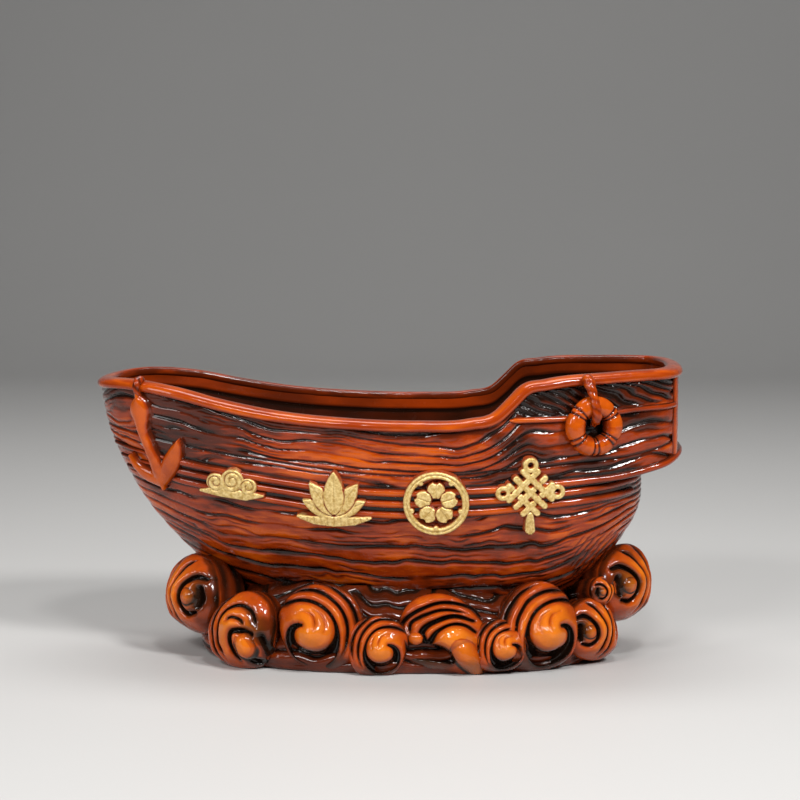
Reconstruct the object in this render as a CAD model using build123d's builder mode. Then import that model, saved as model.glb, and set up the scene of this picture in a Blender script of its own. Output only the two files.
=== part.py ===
from build123d import *
from math import cos, pi, radians, sin
import os

# Boat-shaped incense burner on a base of rolling waves, in glazed stoneware.
#
# The burner is a pottery assembly: a hollow boat hull that holds the ash, a rolled gunwale round
# its mouth, strips and sprigs luted to its sides (rub rails, anchors, lifebuoys, gilt ornaments)
# and a base of wave curls underneath.  Nothing on it moves once it is fired.
#
# Frame, in millimetres: the origin is on the ground under the middle of the overall length and
# width, +X runs from the bow to the stern, -Y is the decorated port side and +Z is up.  Stations
# below are counted from a little further aft; export() moves each piece by MIDDLE_X.

# ---------------------------------------------------------------- driving dimensions
MIDDLE_X = -5.785           # middle of the overall length, between the ends of the gunwale
BOW_X = -153.7              # foremost point of the hull skin
STERN_X = 142.3             # aftmost point of the hull skin
HALF_BEAM = 70.5            # half breadth of the hull skin at its widest
WIDEST_X = 30.0             # station of the widest section
WALL = 6.5                  # thickness of the hull wall
DECK_Z = 127.0              # height up to which the sides still widen
KEEL_Z = 8.0                # height where the curve of the sides would close under the hull
STEM_TOP_Z = 137.0          # height above which the stem stands upright
HULL_BOTTOM_Z = 18.0        # flat underside of the hull, seated in the wave base
FLOOR_Z = 30.0              # floor of the ash bowl
BLANK_TOP_Z = 158.0         # height of the hull blank before the sheer is cut

BOW_PLAN = (1.9, 0.40)      # exponents of the bow's plan curve at the deck
BOW_FINER_BELOW = 0.30      # added to the second exponent by the time the keel is reached
STERN_PLAN = (0.50, 1.6)    # share of the beam lost at the transom, and exponent of that taper
CORNER_LENGTH = 13.0        # length over which the transom corner is rounded
CORNER_POWER = 2.5
SIDE_CURVE = (2.0, 0.6)     # exponents of the side's curve down to the keel
STEM_CURVE = (1.7, 0.5)     # exponents of the stem's curve down to the keel
TUMBLEHOME = 0.001          # share of breadth lost for each millimetre above the deck

COUNTER_LINE = [(90.0, 93.0), (118.0, 95.0), (132.0, 99.0), (165.0, 110.0)]   # overhang's underside
LOWER_STERN_X = 124.4       # sternpost under the overhang
LOWER_STERN_START_X = 86.0  # from here aft the lower hull rounds in to the sternpost
LOWER_STERN_BREADTH = 61.0
LOWER_STERN_POWER = 2.3
RUN_TOP_Z = 82.0            # below this height the sternpost curves forward
RUN_CURVE = (1.5, 0.6)

WATERLINES = (HULL_BOTTOM_Z, 25.0, 35.0, 48.0, 63.0, 80.0, 98.0, 118.0, 137.0, BLANK_TOP_Z)
BOW_STATIONS = (0.22, 0.42, 0.59, 0.73, 0.84, 0.92, 0.967, 0.992)
AFT_STATIONS = (0.35, 0.62, 0.82, 0.93)
CORNER_STATIONS = (0.35, 0.65, 0.85, 0.96)

# Gunwale: profile of its top edge from bow to stern, with the step up to the poop.
LIP_PROUD = 2.0
LIP_INSIDE = 0.6
LIP_HEIGHT = 5.2
LIP_EASE = 1.1              # its top and bottom are stepped in by this much
SHEER = [(-165.0, 140.2), (-140.0, 143.0), (-112.0, 140.3), (-90.0, 135.5), (-62.0, 130.6),
         (-25.0, 127.4), (10.0, 126.5), (36.0, 127.6), (50.0, 131.2), (57.0, 137.6),
         (63.5, 143.8), (74.0, 146.2), (108.0, 148.7), (152.0, 149.8)]

# Rub rails: centre-line heights along the side.
RAIL_PROUD = 1.7
RAIL_HEIGHT = 3.7
UPPER_RAIL = [(-104.0, 102.2), (-76.0, 97.9), (-40.0, 93.3), (0.0, 91.0), (36.0, 92.2),
              (80.0, 95.1), (121.0, 99.4), (134.0, 103.0), (150.0, 109.5)]
MIDDLE_RAIL = [(-104.0, 97.2), (-57.0, 90.4), (-8.0, 85.4), (36.0, 86.5), (81.0, 90.1),
               (119.0, 93.2)]
LOWER_RAIL = [(-104.0, 92.2), (-57.0, 84.7), (-8.0, 79.8), (36.0, 81.0), (81.0, 84.9),
              (119.0, 87.7)]
QUARTER_RAIL = [(57.0, 127.0), (90.0, 127.6), (116.0, 130.2), (150.0, 132.0)]
POST_X, POST_FOOT_Z, POST_HEAD_Z = 140.0, 106.5, 143.4   # corner posts: station, foot and head
POST_IN = 24.0              # the posts stop this far from the middle of the transom

# Lifebuoy on the quarter, hung from the gunwale by a lanyard.
BUOY_X, BUOY_Z = 98.0, 123.7
BUOY_RING_R = 10.2          # centre line of the ring
BUOY_TUBE_R = 3.9
BUOY_STAND_OFF = 3.8        # centre line of the ring above the hull skin
BUOY_TURN = 21.0            # the hull side is turned this many degrees aft at the buoy
WHIPPING_R = 4.35           # rope bands wound round the ring
WHIPPING_ANGLES = (-35.0, 55.0, 145.0, 235.0)
WHIPPING_SPREAD = 20.0
LANYARD_WIDTH = 4.2
LANYARD_TOP_Z, LANYARD_FOOT_Z = 142.8, 126.0
LANYARD_THICKNESS = 10.5    # it passes over the ring

ANCHOR_THICKNESS = 3.6
SHANK = [(-130.4, 137.0), (-125.6, 137.0), (-125.4, 133.0), (-122.8, 129.2), (-125.0, 124.0),
         (-121.6, 116.0), (-116.6, 102.0), (-114.8, 97.0), (-121.2, 97.0), (-125.8, 108.0),
         (-130.6, 121.0), (-133.6, 128.6), (-130.0, 133.0)]
LEFT_ARM = [(-134.6, 104.6), (-127.2, 98.4), (-119.0, 98.6), (-116.4, 88.6), (-124.0, 90.8),
            (-130.8, 96.0)]
RIGHT_ARM = [(-107.6, 115.0), (-106.4, 107.0), (-109.6, 97.6), (-116.4, 88.6), (-119.0, 98.6),
             (-112.8, 102.8)]

# Gilt ornaments: centre, and size of each motif.
ORNAMENT_THICKNESS = 3.4
CLOUD = (-81.5, 92.5, 30.0, 15.0)
LOTUS = (-30.0, 88.0, 38.0, 31.0)
ROUNDEL = (20.0, 86.5, 33.0, 33.0)
KNOT = (65.5, 90.0, 30.0, 34.0)

# Wave base: a low mound hollowed underneath, then the curls round it.
BASE_LEVELS = [(0.0, 101.0, 62.0), (6.0, 103.0, 64.0), (20.0, 97.0, 57.0), (36.0, 80.0, 38.0)]
BASE_X = 3.0
FOOT_RING = 14.0            # width of the flat ring the burner stands on
RECESS_DEPTH = 7.0
CURL_STRAND = 0.16          # radius of the rope of water in a curl, as a share of the curl's
CURL_DEPTH = 17.0           # how far a curl's body reaches back into the base
CURL_TURNS = 1.25
CURL_EYE = 0.36             # radius of the foam ball, as a share of the curl's radius
CURL_BODY = 0.90            # radius of the body behind the ropes, as a share of the curl's radius
CURL_BODY_BACK = 1.3        # how far its face lies behind the middle of the ropes
CURL_POINTS = 13

CURL_REACH = 50.0           # curls closer together than this are trimmed to one another

# Curls: name, x, y, facing (degrees from +X), height of the eye, radius, hand of the spiral.
BIG_CURLS = [
    ("bow_curl", -105.0, 5.0, 182.0, 30.0, 20.0, 1),
    ("bow_curl_port", -101.0, -26.0, 217.0, 30.0, 19.0, 1),
    ("forward_roller_port", -37.5, -58.0, 266.0, 23.0, 22.0, 1),
    ("midship_crest_port", 20.5, -60.5, 269.0, 21.5, 20.0, 1),
    ("aft_roller_port", 71.0, -52.0, 289.0, 24.0, 21.0, -1),
    ("stern_curl_port", 112.0, -19.5, 322.0, 35.5, 19.0, -1),
    ("stern_curl", 118.0, 14.0, 10.0, 30.0, 18.0, -1),
    ("bow_curl_starboard", -88.0, 37.0, 145.0, 26.0, 19.0, -1),
    ("forward_roller_starboard", -37.0, 58.0, 95.0, 23.5, 21.5, 1),
    ("midship_crest_starboard", 21.0, 61.0, 90.0, 22.0, 20.0, -1),
    ("aft_roller_starboard", 73.0, 51.0, 66.0, 24.5, 20.5, -1),
]
SMALL_CURLS = [
    ("bow_ripple_port", -76.0, -54.0, 243.0, 18.5, 18.0, 1),
    ("forward_ripple_port", -8.0, -67.0, 270.0, 14.0, 12.5, -1),
    ("aft_ripple_port", 50.0, -64.0, 281.0, 14.5, 13.0, -1),
    ("stern_ripple_port", 96.0, -42.0, 306.0, 17.5, 15.5, -1),
    ("bow_ripple_starboard", -65.0, 60.0, 118.0, 16.0, 14.5, 1),
    ("forward_ripple_starboard", -8.0, 67.0, 90.0, 14.5, 12.5, 1),
    ("aft_ripple_starboard", 47.0, 65.0, 78.0, 14.0, 12.5, -1),
    ("stern_ripple_starboard", 100.0, 38.0, 45.0, 17.5, 15.5, 1),
]

LATERAL = 110.0             # well beyond anything measured across the hull
HIGH = 220.0                # well above the whole object

os.makedirs("parts", exist_ok=True)


def export(builder, label):
    """Names a finished piece, sets it over the frame's origin and writes its STEP file."""
    piece = builder.part.moved(Location((-MIDDLE_X, 0.0, 0.0)))
    piece.label = label
    export_step(piece, f"parts/{label}.step")


# ---------------------------------------------------------------- hull form
def fall(z, top):
    """Share of the way down from a height to the keel, never negative."""
    return max(0.0, (top - z) / (top - KEEL_Z))


def side_breadth(z):
    """Half breadth of the widest section at height z."""
    lean = 1 - TUMBLEHOME * max(0.0, z - DECK_Z)
    return HALF_BEAM * lean * (1 - fall(z, DECK_Z) ** SIDE_CURVE[0]) ** SIDE_CURVE[1]


def stem_x(z):
    """Station of the stem at height z."""
    return BOW_X * (1 - fall(z, STEM_TOP_Z) ** STEM_CURVE[0]) ** STEM_CURVE[1]


def port_waterline(z, grow):
    """Points of the port side at height z, transom to stem, with the skin moved out by grow."""
    breadth = side_breadth(z)
    run = STERN_X - WIDEST_X
    corner_x = STERN_X - CORNER_LENGTH
    points = [(STERN_X + grow, 0.0)]
    for share in reversed(CORNER_STATIONS):
        x = corner_x + CORNER_LENGTH * share
        taper = 1 - STERN_PLAN[0] * ((x - WIDEST_X) / run) ** STERN_PLAN[1]
        rounding = (1 - share ** CORNER_POWER) ** (1 / CORNER_POWER)
        points.append((x + grow * share, -(breadth * taper + grow) * rounding))
    for share in reversed(AFT_STATIONS):
        x = WIDEST_X + (corner_x - WIDEST_X) * share
        taper = 1 - STERN_PLAN[0] * ((x - WIDEST_X) / run) ** STERN_PLAN[1]
        points.append((x, -(breadth * taper + grow)))
    points.append((WIDEST_X, -(breadth + grow)))
    fullness = BOW_PLAN[1] + BOW_FINER_BELOW * fall(z, STEM_TOP_Z)
    for share in BOW_STATIONS:
        rounding = (1 - share ** BOW_PLAN[0]) ** fullness
        points.append((WIDEST_X + (stem_x(z) - grow - WIDEST_X) * share,
                       -(breadth + grow) * rounding))
    points.append((stem_x(z) - grow, 0.0))
    return points


def run_x(z):
    """Station of the sternpost at height z, under the overhang."""
    curve = (1 - fall(z, RUN_TOP_Z) ** RUN_CURVE[0]) ** RUN_CURVE[1]
    return WIDEST_X + (LOWER_STERN_X - WIDEST_X) * curve


def lower_stern_cut(grow):
    """What is cut from the blank under the overhang, leaving a rounded lower stern."""
    reach = LOWER_STERN_X + grow - LOWER_STERN_START_X
    outline = [(LOWER_STERN_X + grow, 0.0)]
    for share in reversed(CORNER_STATIONS):
        rounding = (1 - share ** LOWER_STERN_POWER) ** (1 / LOWER_STERN_POWER)
        outline.append((LOWER_STERN_START_X + reach * share,
                        -(LOWER_STERN_BREADTH + grow) * rounding))
    outline.append((LOWER_STERN_START_X, -(LOWER_STERN_BREADTH + grow)))
    run_heights = (RUN_TOP_Z, 74.0, 64.0, 52.0, 40.0, 28.0, HULL_BOTTOM_Z)
    with BuildPart() as kept:
        with BuildSketch(Plane.XY):
            with BuildLine() as half:
                Spline(outline, tangents=[(0, -1), (-1, 0)])
                Line(outline[-1], (0.0, outline[-1][1]))
                Line((0.0, outline[-1][1]), (0.0, 0.0))
                Line((0.0, 0.0), outline[0])
            make_face()
            mirror(about=Plane.XZ)
        extrude(amount=HIGH)
        with BuildSketch(Plane.XZ):
            with BuildLine():
                Line((-LATERAL, 0.0), (-LATERAL, HIGH))
                Line((-LATERAL, HIGH), (run_x(HIGH) + grow, HIGH))
                Line((run_x(HIGH) + grow, HIGH), (run_x(RUN_TOP_Z) + grow, RUN_TOP_Z))
                Spline([(run_x(z) + grow, z) for z in run_heights])
                Line((run_x(HULL_BOTTOM_Z) + grow, HULL_BOTTOM_Z), (run_x(HULL_BOTTOM_Z), 0.0))
                Line((run_x(HULL_BOTTOM_Z), 0.0), (-LATERAL, 0.0))
            make_face()
        extrude(amount=LATERAL, both=True, mode=Mode.INTERSECT)
    with BuildPart() as cut:
        with BuildSketch(Plane.XZ):
            with BuildLine():
                Polyline([(x, z - grow) for x, z in COUNTER_LINE])
                Line((COUNTER_LINE[-1][0], COUNTER_LINE[-1][1] - grow), (COUNTER_LINE[-1][0], -1.0))
                Line((COUNTER_LINE[-1][0], -1.0), (COUNTER_LINE[0][0], -1.0))
                Line((COUNTER_LINE[0][0], -1.0), (COUNTER_LINE[0][0], COUNTER_LINE[0][1] - grow))
            make_face()
        extrude(amount=LATERAL, both=True)
        add(kept.part, mode=Mode.SUBTRACT)
    return cut


def hull_form(grow, levels=WATERLINES):
    """Solid hull blank with its skin moved out by grow, lofted through its waterlines."""
    cut = lower_stern_cut(grow)
    with BuildPart() as form:
        for z in levels:
            with BuildSketch(Plane.XY.offset(z)):
                port = port_waterline(z, grow)
                starboard = [(x, -y) for x, y in reversed(port[1:-1])]
                with BuildLine():
                    Spline(port + starboard, periodic=True)
                make_face()
        loft()
        add(cut.part, mode=Mode.SUBTRACT)
    return form


def band(centre_line, height, start=None):
    """Strip across the whole hull, following a centre line seen from the side."""
    upper = [(x, z + height / 2) for x, z in centre_line]
    lower = [(x, z - height / 2) for x, z in centre_line]
    with BuildPart() as strip:
        with BuildSketch(Plane.XZ):
            with BuildLine():
                Spline(upper)
                Line(upper[-1], lower[-1])
                Spline(lower)
                Line(lower[0], upper[0])
            make_face()
        extrude(amount=LATERAL, both=True)
    return strip


def below_sheer(drop):
    """Everything under the gunwale's top edge, lowered by drop."""
    line = [(x, z - drop) for x, z in SHEER]
    with BuildPart() as under:
        with BuildSketch(Plane.XZ):
            with BuildLine():
                Spline(line)
                Line(line[-1], (line[-1][0], -1.0))
                Line((line[-1][0], -1.0), (line[0][0], -1.0))
                Line((line[0][0], -1.0), line[0])
            make_face()
        extrude(amount=LATERAL, both=True)
    return under


def laid_on(skin, outline, *under):
    """Piece cut from a grown skin by a side-view outline, resting on the pieces under it."""
    with BuildPart() as piece:
        add(outline.part)
        add(skin.part, mode=Mode.INTERSECT)
        for lower in under:
            add(lower.part, mode=Mode.SUBTRACT)
    return piece


def largest(builder):
    """The main solid of a piece, without the crumbs a cut can leave."""
    with BuildPart() as whole:
        add(builder.part.solids().sort_by(SortBy.VOLUME)[-1])
    return whole


def to_starboard(port_piece):
    """The same piece on the other side."""
    with BuildPart() as other:
        mirror(port_piece.part, about=Plane.XZ)
    return other


blank = hull_form(0.0)
upper_levels = tuple(z for z in WATERLINES if z >= 63.0)

# ---------------------------------------------------------------- hull and gunwale
cavity = hull_form(-WALL, (FLOOR_Z,) + tuple(z for z in WATERLINES if z > FLOOR_Z))
with BuildPart() as hull:
    add(blank.part)
    add(cavity.part, mode=Mode.SUBTRACT)
    add(below_sheer(LIP_HEIGHT).part, mode=Mode.INTERSECT)
export(hull, "hull_shell")

with BuildPart() as full_lip:
    add(hull_form(LIP_PROUD, upper_levels).part)
    add(hull_form(-WALL - LIP_INSIDE, upper_levels).part, mode=Mode.SUBTRACT)
with BuildPart() as narrow_lip:
    add(hull_form(LIP_PROUD - LIP_EASE, upper_levels).part)
    add(hull_form(-WALL - LIP_INSIDE + LIP_EASE, upper_levels).part, mode=Mode.SUBTRACT)
with BuildPart() as lip_core:
    add(narrow_lip.part)
    add(below_sheer(0.0).part, mode=Mode.INTERSECT)
    add(below_sheer(LIP_HEIGHT).part, mode=Mode.SUBTRACT)
with BuildPart() as gunwale:
    add(full_lip.part)
    add(below_sheer(LIP_EASE).part, mode=Mode.INTERSECT)
    add(below_sheer(LIP_HEIGHT - LIP_EASE).part, mode=Mode.SUBTRACT)
    add(lip_core.part)
export(gunwale, "gunwale_rim")

# ---------------------------------------------------------------- rub rails
rail_skin = hull_form(RAIL_PROUD, upper_levels)
with BuildPart() as port_side:
    with Locations((0.0, -LATERAL / 2, HIGH / 2)):
        Box(2 * HIGH, LATERAL, HIGH)

rail_pieces = {}
for name, line in (("upper_rub_rail", UPPER_RAIL), ("middle_rub_rail", MIDDLE_RAIL),
                   ("lower_rub_rail", LOWER_RAIL)):
    strip = band(line, RAIL_HEIGHT)
    with BuildPart() as one_side:
        add(strip.part)
        add(port_side.part, mode=Mode.INTERSECT)
    rail = laid_on(rail_skin, one_side, blank)
    rail_pieces[name] = rail
    export(rail, name + "_port")
    export(to_starboard(rail), name + "_starboard")

# ---------------------------------------------------------------- corner posts of the transom
with BuildPart() as post_outline:
    with BuildSketch(Plane.XZ):
        Polygon((POST_X - 5.0, POST_FOOT_Z), (POST_X + 6.0, POST_FOOT_Z + 3.0),
                (POST_X + 9.0, POST_HEAD_Z), (POST_X - 4.0, POST_HEAD_Z), align=None)
    extrude(amount=LATERAL)
post = laid_on(rail_skin, post_outline, blank, rail_pieces["upper_rub_rail"], gunwale)
with BuildPart() as corner_post:
    add(post.part)
    with Locations((STERN_X, -POST_IN / 2, HIGH / 2)):
        Box(40.0, POST_IN, HIGH, mode=Mode.SUBTRACT)
export(corner_post, "corner_post_port")
export(to_starboard(corner_post), "corner_post_starboard")

with BuildPart() as quarter_strip:
    add(band(QUARTER_RAIL, RAIL_HEIGHT).part)
    add(port_side.part, mode=Mode.INTERSECT)
    with Locations((POST_X, 0.0, HIGH / 2)):
        Box(14.0, 2 * LATERAL, HIGH, mode=Mode.SUBTRACT)
    with Locations((STERN_X, 0.0, HIGH / 2)):
        Box(14.0, 2 * LATERAL, HIGH, mode=Mode.SUBTRACT)
rail_pieces["quarter_rail"] = laid_on(rail_skin, quarter_strip, blank, corner_post)
export(rail_pieces["quarter_rail"], "quarter_rail_port")
export(to_starboard(rail_pieces["quarter_rail"]), "quarter_rail_starboard")

# ---------------------------------------------------------------- anchors
with BuildPart() as anchor_outline:
    with BuildSketch(Plane.XZ):
        Polygon(SHANK, align=None)
        Polygon(LEFT_ARM, align=None)
        Polygon(RIGHT_ARM, align=None)
        fillet(vertices(), radius=0.6)
    extrude(amount=LATERAL)
anchor_skin = hull_form(ANCHOR_THICKNESS, upper_levels)
anchor = laid_on(anchor_skin, anchor_outline, blank, gunwale, rail_pieces["upper_rub_rail"],
                 rail_pieces["middle_rub_rail"], rail_pieces["lower_rub_rail"])
export(anchor, "anchor_port")
export(to_starboard(anchor), "anchor_starboard")

# ---------------------------------------------------------------- lifebuoys and lanyards
buoy_taper = 1 - STERN_PLAN[0] * ((BUOY_X - WIDEST_X) / (STERN_X - WIDEST_X)) ** STERN_PLAN[1]
buoy_y = -(side_breadth(BUOY_Z) * buoy_taper + BUOY_STAND_OFF)
buoy_plane = Plane(origin=(BUOY_X, buoy_y, BUOY_Z),
                   x_dir=(cos(radians(BUOY_TURN)), sin(radians(BUOY_TURN)), 0.0),
                   z_dir=(sin(radians(BUOY_TURN)), -cos(radians(BUOY_TURN)), 0.0))
with BuildPart() as lifebuoy:
    with Locations(buoy_plane):
        Torus(BUOY_RING_R, BUOY_TUBE_R)
        for angle in WHIPPING_ANGLES:
            with Locations(Rotation(0, 0, angle)):
                Torus(BUOY_RING_R, WHIPPING_R, major_angle=WHIPPING_SPREAD)
    add(blank.part, mode=Mode.SUBTRACT)
    add(rail_pieces["quarter_rail"].part, mode=Mode.SUBTRACT)
lifebuoy = largest(lifebuoy)
export(lifebuoy, "lifebuoy_port")
export(to_starboard(lifebuoy), "lifebuoy_starboard")

with BuildPart() as lanyard_outline:
    with BuildSketch(Plane.XZ):
        with Locations((BUOY_X - 1.5, (LANYARD_TOP_Z + LANYARD_FOOT_Z) / 2)):
            SlotOverall(LANYARD_TOP_Z - LANYARD_FOOT_Z, LANYARD_WIDTH, rotation=94)
    extrude(amount=LATERAL)
lanyard_skin = hull_form(LANYARD_THICKNESS, upper_levels)
lanyard = largest(laid_on(lanyard_skin, lanyard_outline, blank, gunwale, lifebuoy,
                          rail_pieces["quarter_rail"]))
export(lanyard, "lanyard_port")
export(to_starboard(lanyard), "lanyard_starboard")

# ---------------------------------------------------------------- gilt ornaments
gilt_skin = hull_form(ORNAMENT_THICKNESS, tuple(z for z in WATERLINES if z >= 48.0))
rails = [rail_pieces[n] for n in ("upper_rub_rail", "middle_rub_rail", "lower_rub_rail")]

cloud_x, cloud_z, cloud_w, cloud_h = CLOUD
with BuildPart() as cloud_outline:
    with BuildSketch(Plane.XZ):
        with Locations((cloud_x, cloud_z - cloud_h * 0.22)):
            SlotOverall(cloud_w, cloud_h * 0.42)
        with Locations((cloud_x - cloud_w * 0.24, cloud_z - cloud_h * 0.04)):
            Circle(cloud_h * 0.33)
        with Locations((cloud_x + cloud_w * 0.02, cloud_z + cloud_h * 0.10)):
            Circle(cloud_h * 0.40)
        with Locations((cloud_x + cloud_w * 0.26, cloud_z - cloud_h * 0.06)):
            Circle(cloud_h * 0.30)
    extrude(amount=LATERAL)

lotus_x, lotus_z, lotus_w, lotus_h = LOTUS
with BuildPart() as lotus_outline:
    with BuildSketch(Plane.XZ):
        with Locations((lotus_x, lotus_z - lotus_h * 0.36)):
            SlotOverall(lotus_w * 0.9, lotus_h * 0.2)
        for lean, reach in ((0.0, 0.62), (32.0, 0.58), (-32.0, 0.58), (62.0, 0.54), (-62.0, 0.54)):
            tip_x = lotus_x - lotus_h * reach * sin(radians(lean)) * 0.62
            tip_z = lotus_z - lotus_h * 0.2 + lotus_h * reach * cos(radians(lean)) * 0.52
            with Locations(Location((tip_x, tip_z), lean)):
                Ellipse(lotus_w * 0.12, lotus_h * reach * 0.56)
    extrude(amount=LATERAL)

roundel_x, roundel_z, roundel_w, roundel_h = ROUNDEL
with BuildPart() as roundel_outline:
    with BuildSketch(Plane.XZ):
        with Locations((roundel_x, roundel_z)):
            Circle(roundel_w * 0.5)
            Circle(roundel_w * 0.5 - 3.6, mode=Mode.SUBTRACT)
            with PolarLocations(roundel_w * 0.21, 5, start_angle=90):
                Circle(roundel_w * 0.135)
            Circle(roundel_w * 0.12)
            with PolarLocations(roundel_w * 0.38, 5, start_angle=90):
                Rectangle(roundel_w * 0.16, 3.0)
    extrude(amount=LATERAL)

knot_x, knot_z, knot_w, knot_h = KNOT
with BuildPart() as knot_outline:
    with BuildSketch(Plane.XZ):
        with Locations(Location((knot_x, knot_z), 45)):
            Rectangle(knot_w * 0.62, knot_w * 0.62)
            with GridLocations(knot_w * 0.24, knot_w * 0.24, 2, 2):
                Rectangle(knot_w * 0.12, knot_w * 0.12, mode=Mode.SUBTRACT)
        with Locations((knot_x, knot_z + knot_h * 0.40)):
            Circle(knot_w * 0.12)
        with Locations((knot_x - knot_w * 0.40, knot_z), (knot_x + knot_w * 0.40, knot_z)):
            Circle(knot_w * 0.13)
        with Locations((knot_x, knot_z - knot_h * 0.38)):
            Rectangle(knot_w * 0.12, knot_h * 0.24)
    extrude(amount=LATERAL)

for name, outline in (("cloud_ornament", cloud_outline), ("lotus_ornament", lotus_outline),
                      ("roundel_ornament", roundel_outline), ("knot_ornament", knot_outline)):
    export(laid_on(gilt_skin, outline, blank, *rails), name)

# ---------------------------------------------------------------- wave base
with BuildPart() as wave_base:
    for z, half_length, half_width in BASE_LEVELS:
        with BuildSketch(Plane((BASE_X, 0.0, z))):
            Ellipse(half_length, half_width)
    loft()
    with BuildSketch(Plane((BASE_X, 0.0, 0.0))):
        Ellipse(BASE_LEVELS[0][1] - FOOT_RING, BASE_LEVELS[0][2] - FOOT_RING)
    extrude(amount=RECESS_DEPTH, mode=Mode.SUBTRACT)
    add(blank.part, mode=Mode.SUBTRACT)
export(wave_base, "wave_base")


def curl(x, y, facing, eye_z, radius, hand, *around):
    """One roller: a body reaching back into the base, a rope of water spiralling in to a ball."""
    out = Vector(cos(radians(facing)), sin(radians(facing)), 0.0)
    along = Vector(-sin(radians(facing)), cos(radians(facing)), 0.0)
    face = Plane(origin=(x, y, eye_z), x_dir=along, z_dir=out)
    strand = radius * CURL_STRAND
    reach = radius - strand
    eye = radius * CURL_EYE
    spiral = []
    for step in range(CURL_POINTS):
        share = step / (CURL_POINTS - 1)
        angle = -pi / 2 + hand * 2 * pi * CURL_TURNS * (1 - share)
        distance = eye + (reach - eye) * (1 - share)
        spiral.append((distance * cos(angle), distance * sin(angle)))
    with BuildPart() as roller:
        with BuildLine(face):
            rope = Spline(spiral)
        with BuildSketch(Plane(origin=rope @ 0, z_dir=rope % 0)):
            Circle(strand)
        sweep()
        with BuildSketch(face.offset(-CURL_DEPTH)):
            Circle(radius * CURL_BODY)
        extrude(amount=CURL_DEPTH - CURL_BODY_BACK)
        with Locations(face):
            Sphere(eye * 1.1)
        with Locations((x, y, -HIGH / 2)):
            Box(HIGH, HIGH, HIGH, mode=Mode.SUBTRACT)
        for neighbour in around:
            add(neighbour.part, mode=Mode.SUBTRACT)
    return largest(roller)


made = []
for name, *place in BIG_CURLS + SMALL_CURLS:
    near = [r for x, y, r in made if (x - place[0]) ** 2 + (y - place[1]) ** 2 < CURL_REACH ** 2]
    roller = curl(*place, wave_base, blank, *near)
    made.append((place[0], place[1], roller))
    export(roller, name)
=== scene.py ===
import math

import bpy
import numpy as np
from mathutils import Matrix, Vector


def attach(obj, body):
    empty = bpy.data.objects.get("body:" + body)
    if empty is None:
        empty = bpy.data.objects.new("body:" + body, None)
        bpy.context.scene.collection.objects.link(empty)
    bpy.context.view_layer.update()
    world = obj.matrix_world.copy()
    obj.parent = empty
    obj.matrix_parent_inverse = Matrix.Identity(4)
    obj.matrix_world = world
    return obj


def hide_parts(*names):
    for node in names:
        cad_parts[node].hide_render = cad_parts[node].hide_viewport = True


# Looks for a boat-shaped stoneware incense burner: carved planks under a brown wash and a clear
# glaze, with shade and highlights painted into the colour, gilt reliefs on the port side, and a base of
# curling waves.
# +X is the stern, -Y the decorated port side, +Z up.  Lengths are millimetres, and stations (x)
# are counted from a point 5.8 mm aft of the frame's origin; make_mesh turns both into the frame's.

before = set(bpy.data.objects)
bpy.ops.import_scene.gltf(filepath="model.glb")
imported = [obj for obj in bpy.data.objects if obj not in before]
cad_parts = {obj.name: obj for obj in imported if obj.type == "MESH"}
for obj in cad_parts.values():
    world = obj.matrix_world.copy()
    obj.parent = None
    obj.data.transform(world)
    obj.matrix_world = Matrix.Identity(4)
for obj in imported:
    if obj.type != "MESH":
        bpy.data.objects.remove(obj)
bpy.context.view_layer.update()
FINE = 1.0   # spacing of the surface grids, in units of their finest
MM = 0.001
MIDDLE_X = -5.785                   # station of the frame's origin, under the middle of the length
PORT, STARBOARD = -1.0, 1.0


def sided(name, side):
    """A name with its side of the boat."""
    return name + ("_port" if side == PORT else "_starboard")


# ---- noise and curves
def value_noise(x, y, seed):
    """Smooth noise in -1..1 on a unit lattice, the same every time for one seed."""
    x, y = np.broadcast_arrays(np.asarray(x, float), np.asarray(y, float))
    xi, yi = np.floor(x).astype(int), np.floor(y).astype(int)
    fx, fy = x - xi, y - yi
    fx, fy = fx * fx * (3 - 2 * fx), fy * fy * (3 - 2 * fy)
    table = np.random.default_rng(seed).uniform(-1, 1, (64, 64))
    corner = [[table[(xi + i) % 64, (yi + j) % 64] for j in (0, 1)] for i in (0, 1)]
    low = corner[0][0] * (1 - fx) + corner[1][0] * fx
    high = corner[0][1] * (1 - fx) + corner[1][1] * fx
    return low * (1 - fy) + high * fy


def cloudy(x, y, seed, octaves=3):
    """A few octaves of value noise."""
    total, size, weight = 0.0, 1.0, 1.0
    for k in range(octaves):
        total = total + weight * value_noise(x * size, y * size, seed + 17 * k)
        size, weight = size * 2.03, weight * 0.5
    return total / 1.75


def curve(points):
    """Smooth function through (x, value) points."""
    px = np.array([p[0] for p in points], float)
    py = np.array([p[1] for p in points], float)
    slope = np.gradient(py, px)

    def at(x):
        x = np.clip(np.asarray(x, float), px[0], px[-1])
        k = np.clip(np.searchsorted(px, x) - 1, 0, len(px) - 2)
        span = px[k + 1] - px[k]
        t = (x - px[k]) / span
        return ((2 * t**3 - 3 * t**2 + 1) * py[k] + (t**3 - 2 * t**2 + t) * span * slope[k]
                + (3 * t**2 - 2 * t**3) * py[k + 1] + (t**3 - t**2) * span * slope[k + 1])
    return at


def smooth(low, high, x):
    """0 below low, 1 above high, smooth between."""
    t = np.clip((np.asarray(x, float) - low) / (high - low), 0, 1)
    return t * t * (3 - 2 * t)


def unit(v):
    """Vectors made one long."""
    return v / np.maximum(np.linalg.norm(v, axis=-1, keepdims=True), 1e-9)


def distance_along(p):
    """Distance of each point of a line from its first."""
    return np.concatenate([[0], np.cumsum(np.linalg.norm(np.diff(p, axis=0), axis=1))])


def circle(count):
    """Angles evenly spaced once round."""
    return np.linspace(0, 2 * np.pi, count, endpoint=False)


def bell(x, width):
    """1 at nought, falling away on both sides over about a width."""
    return np.exp(-(x / width) ** 2)


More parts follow.
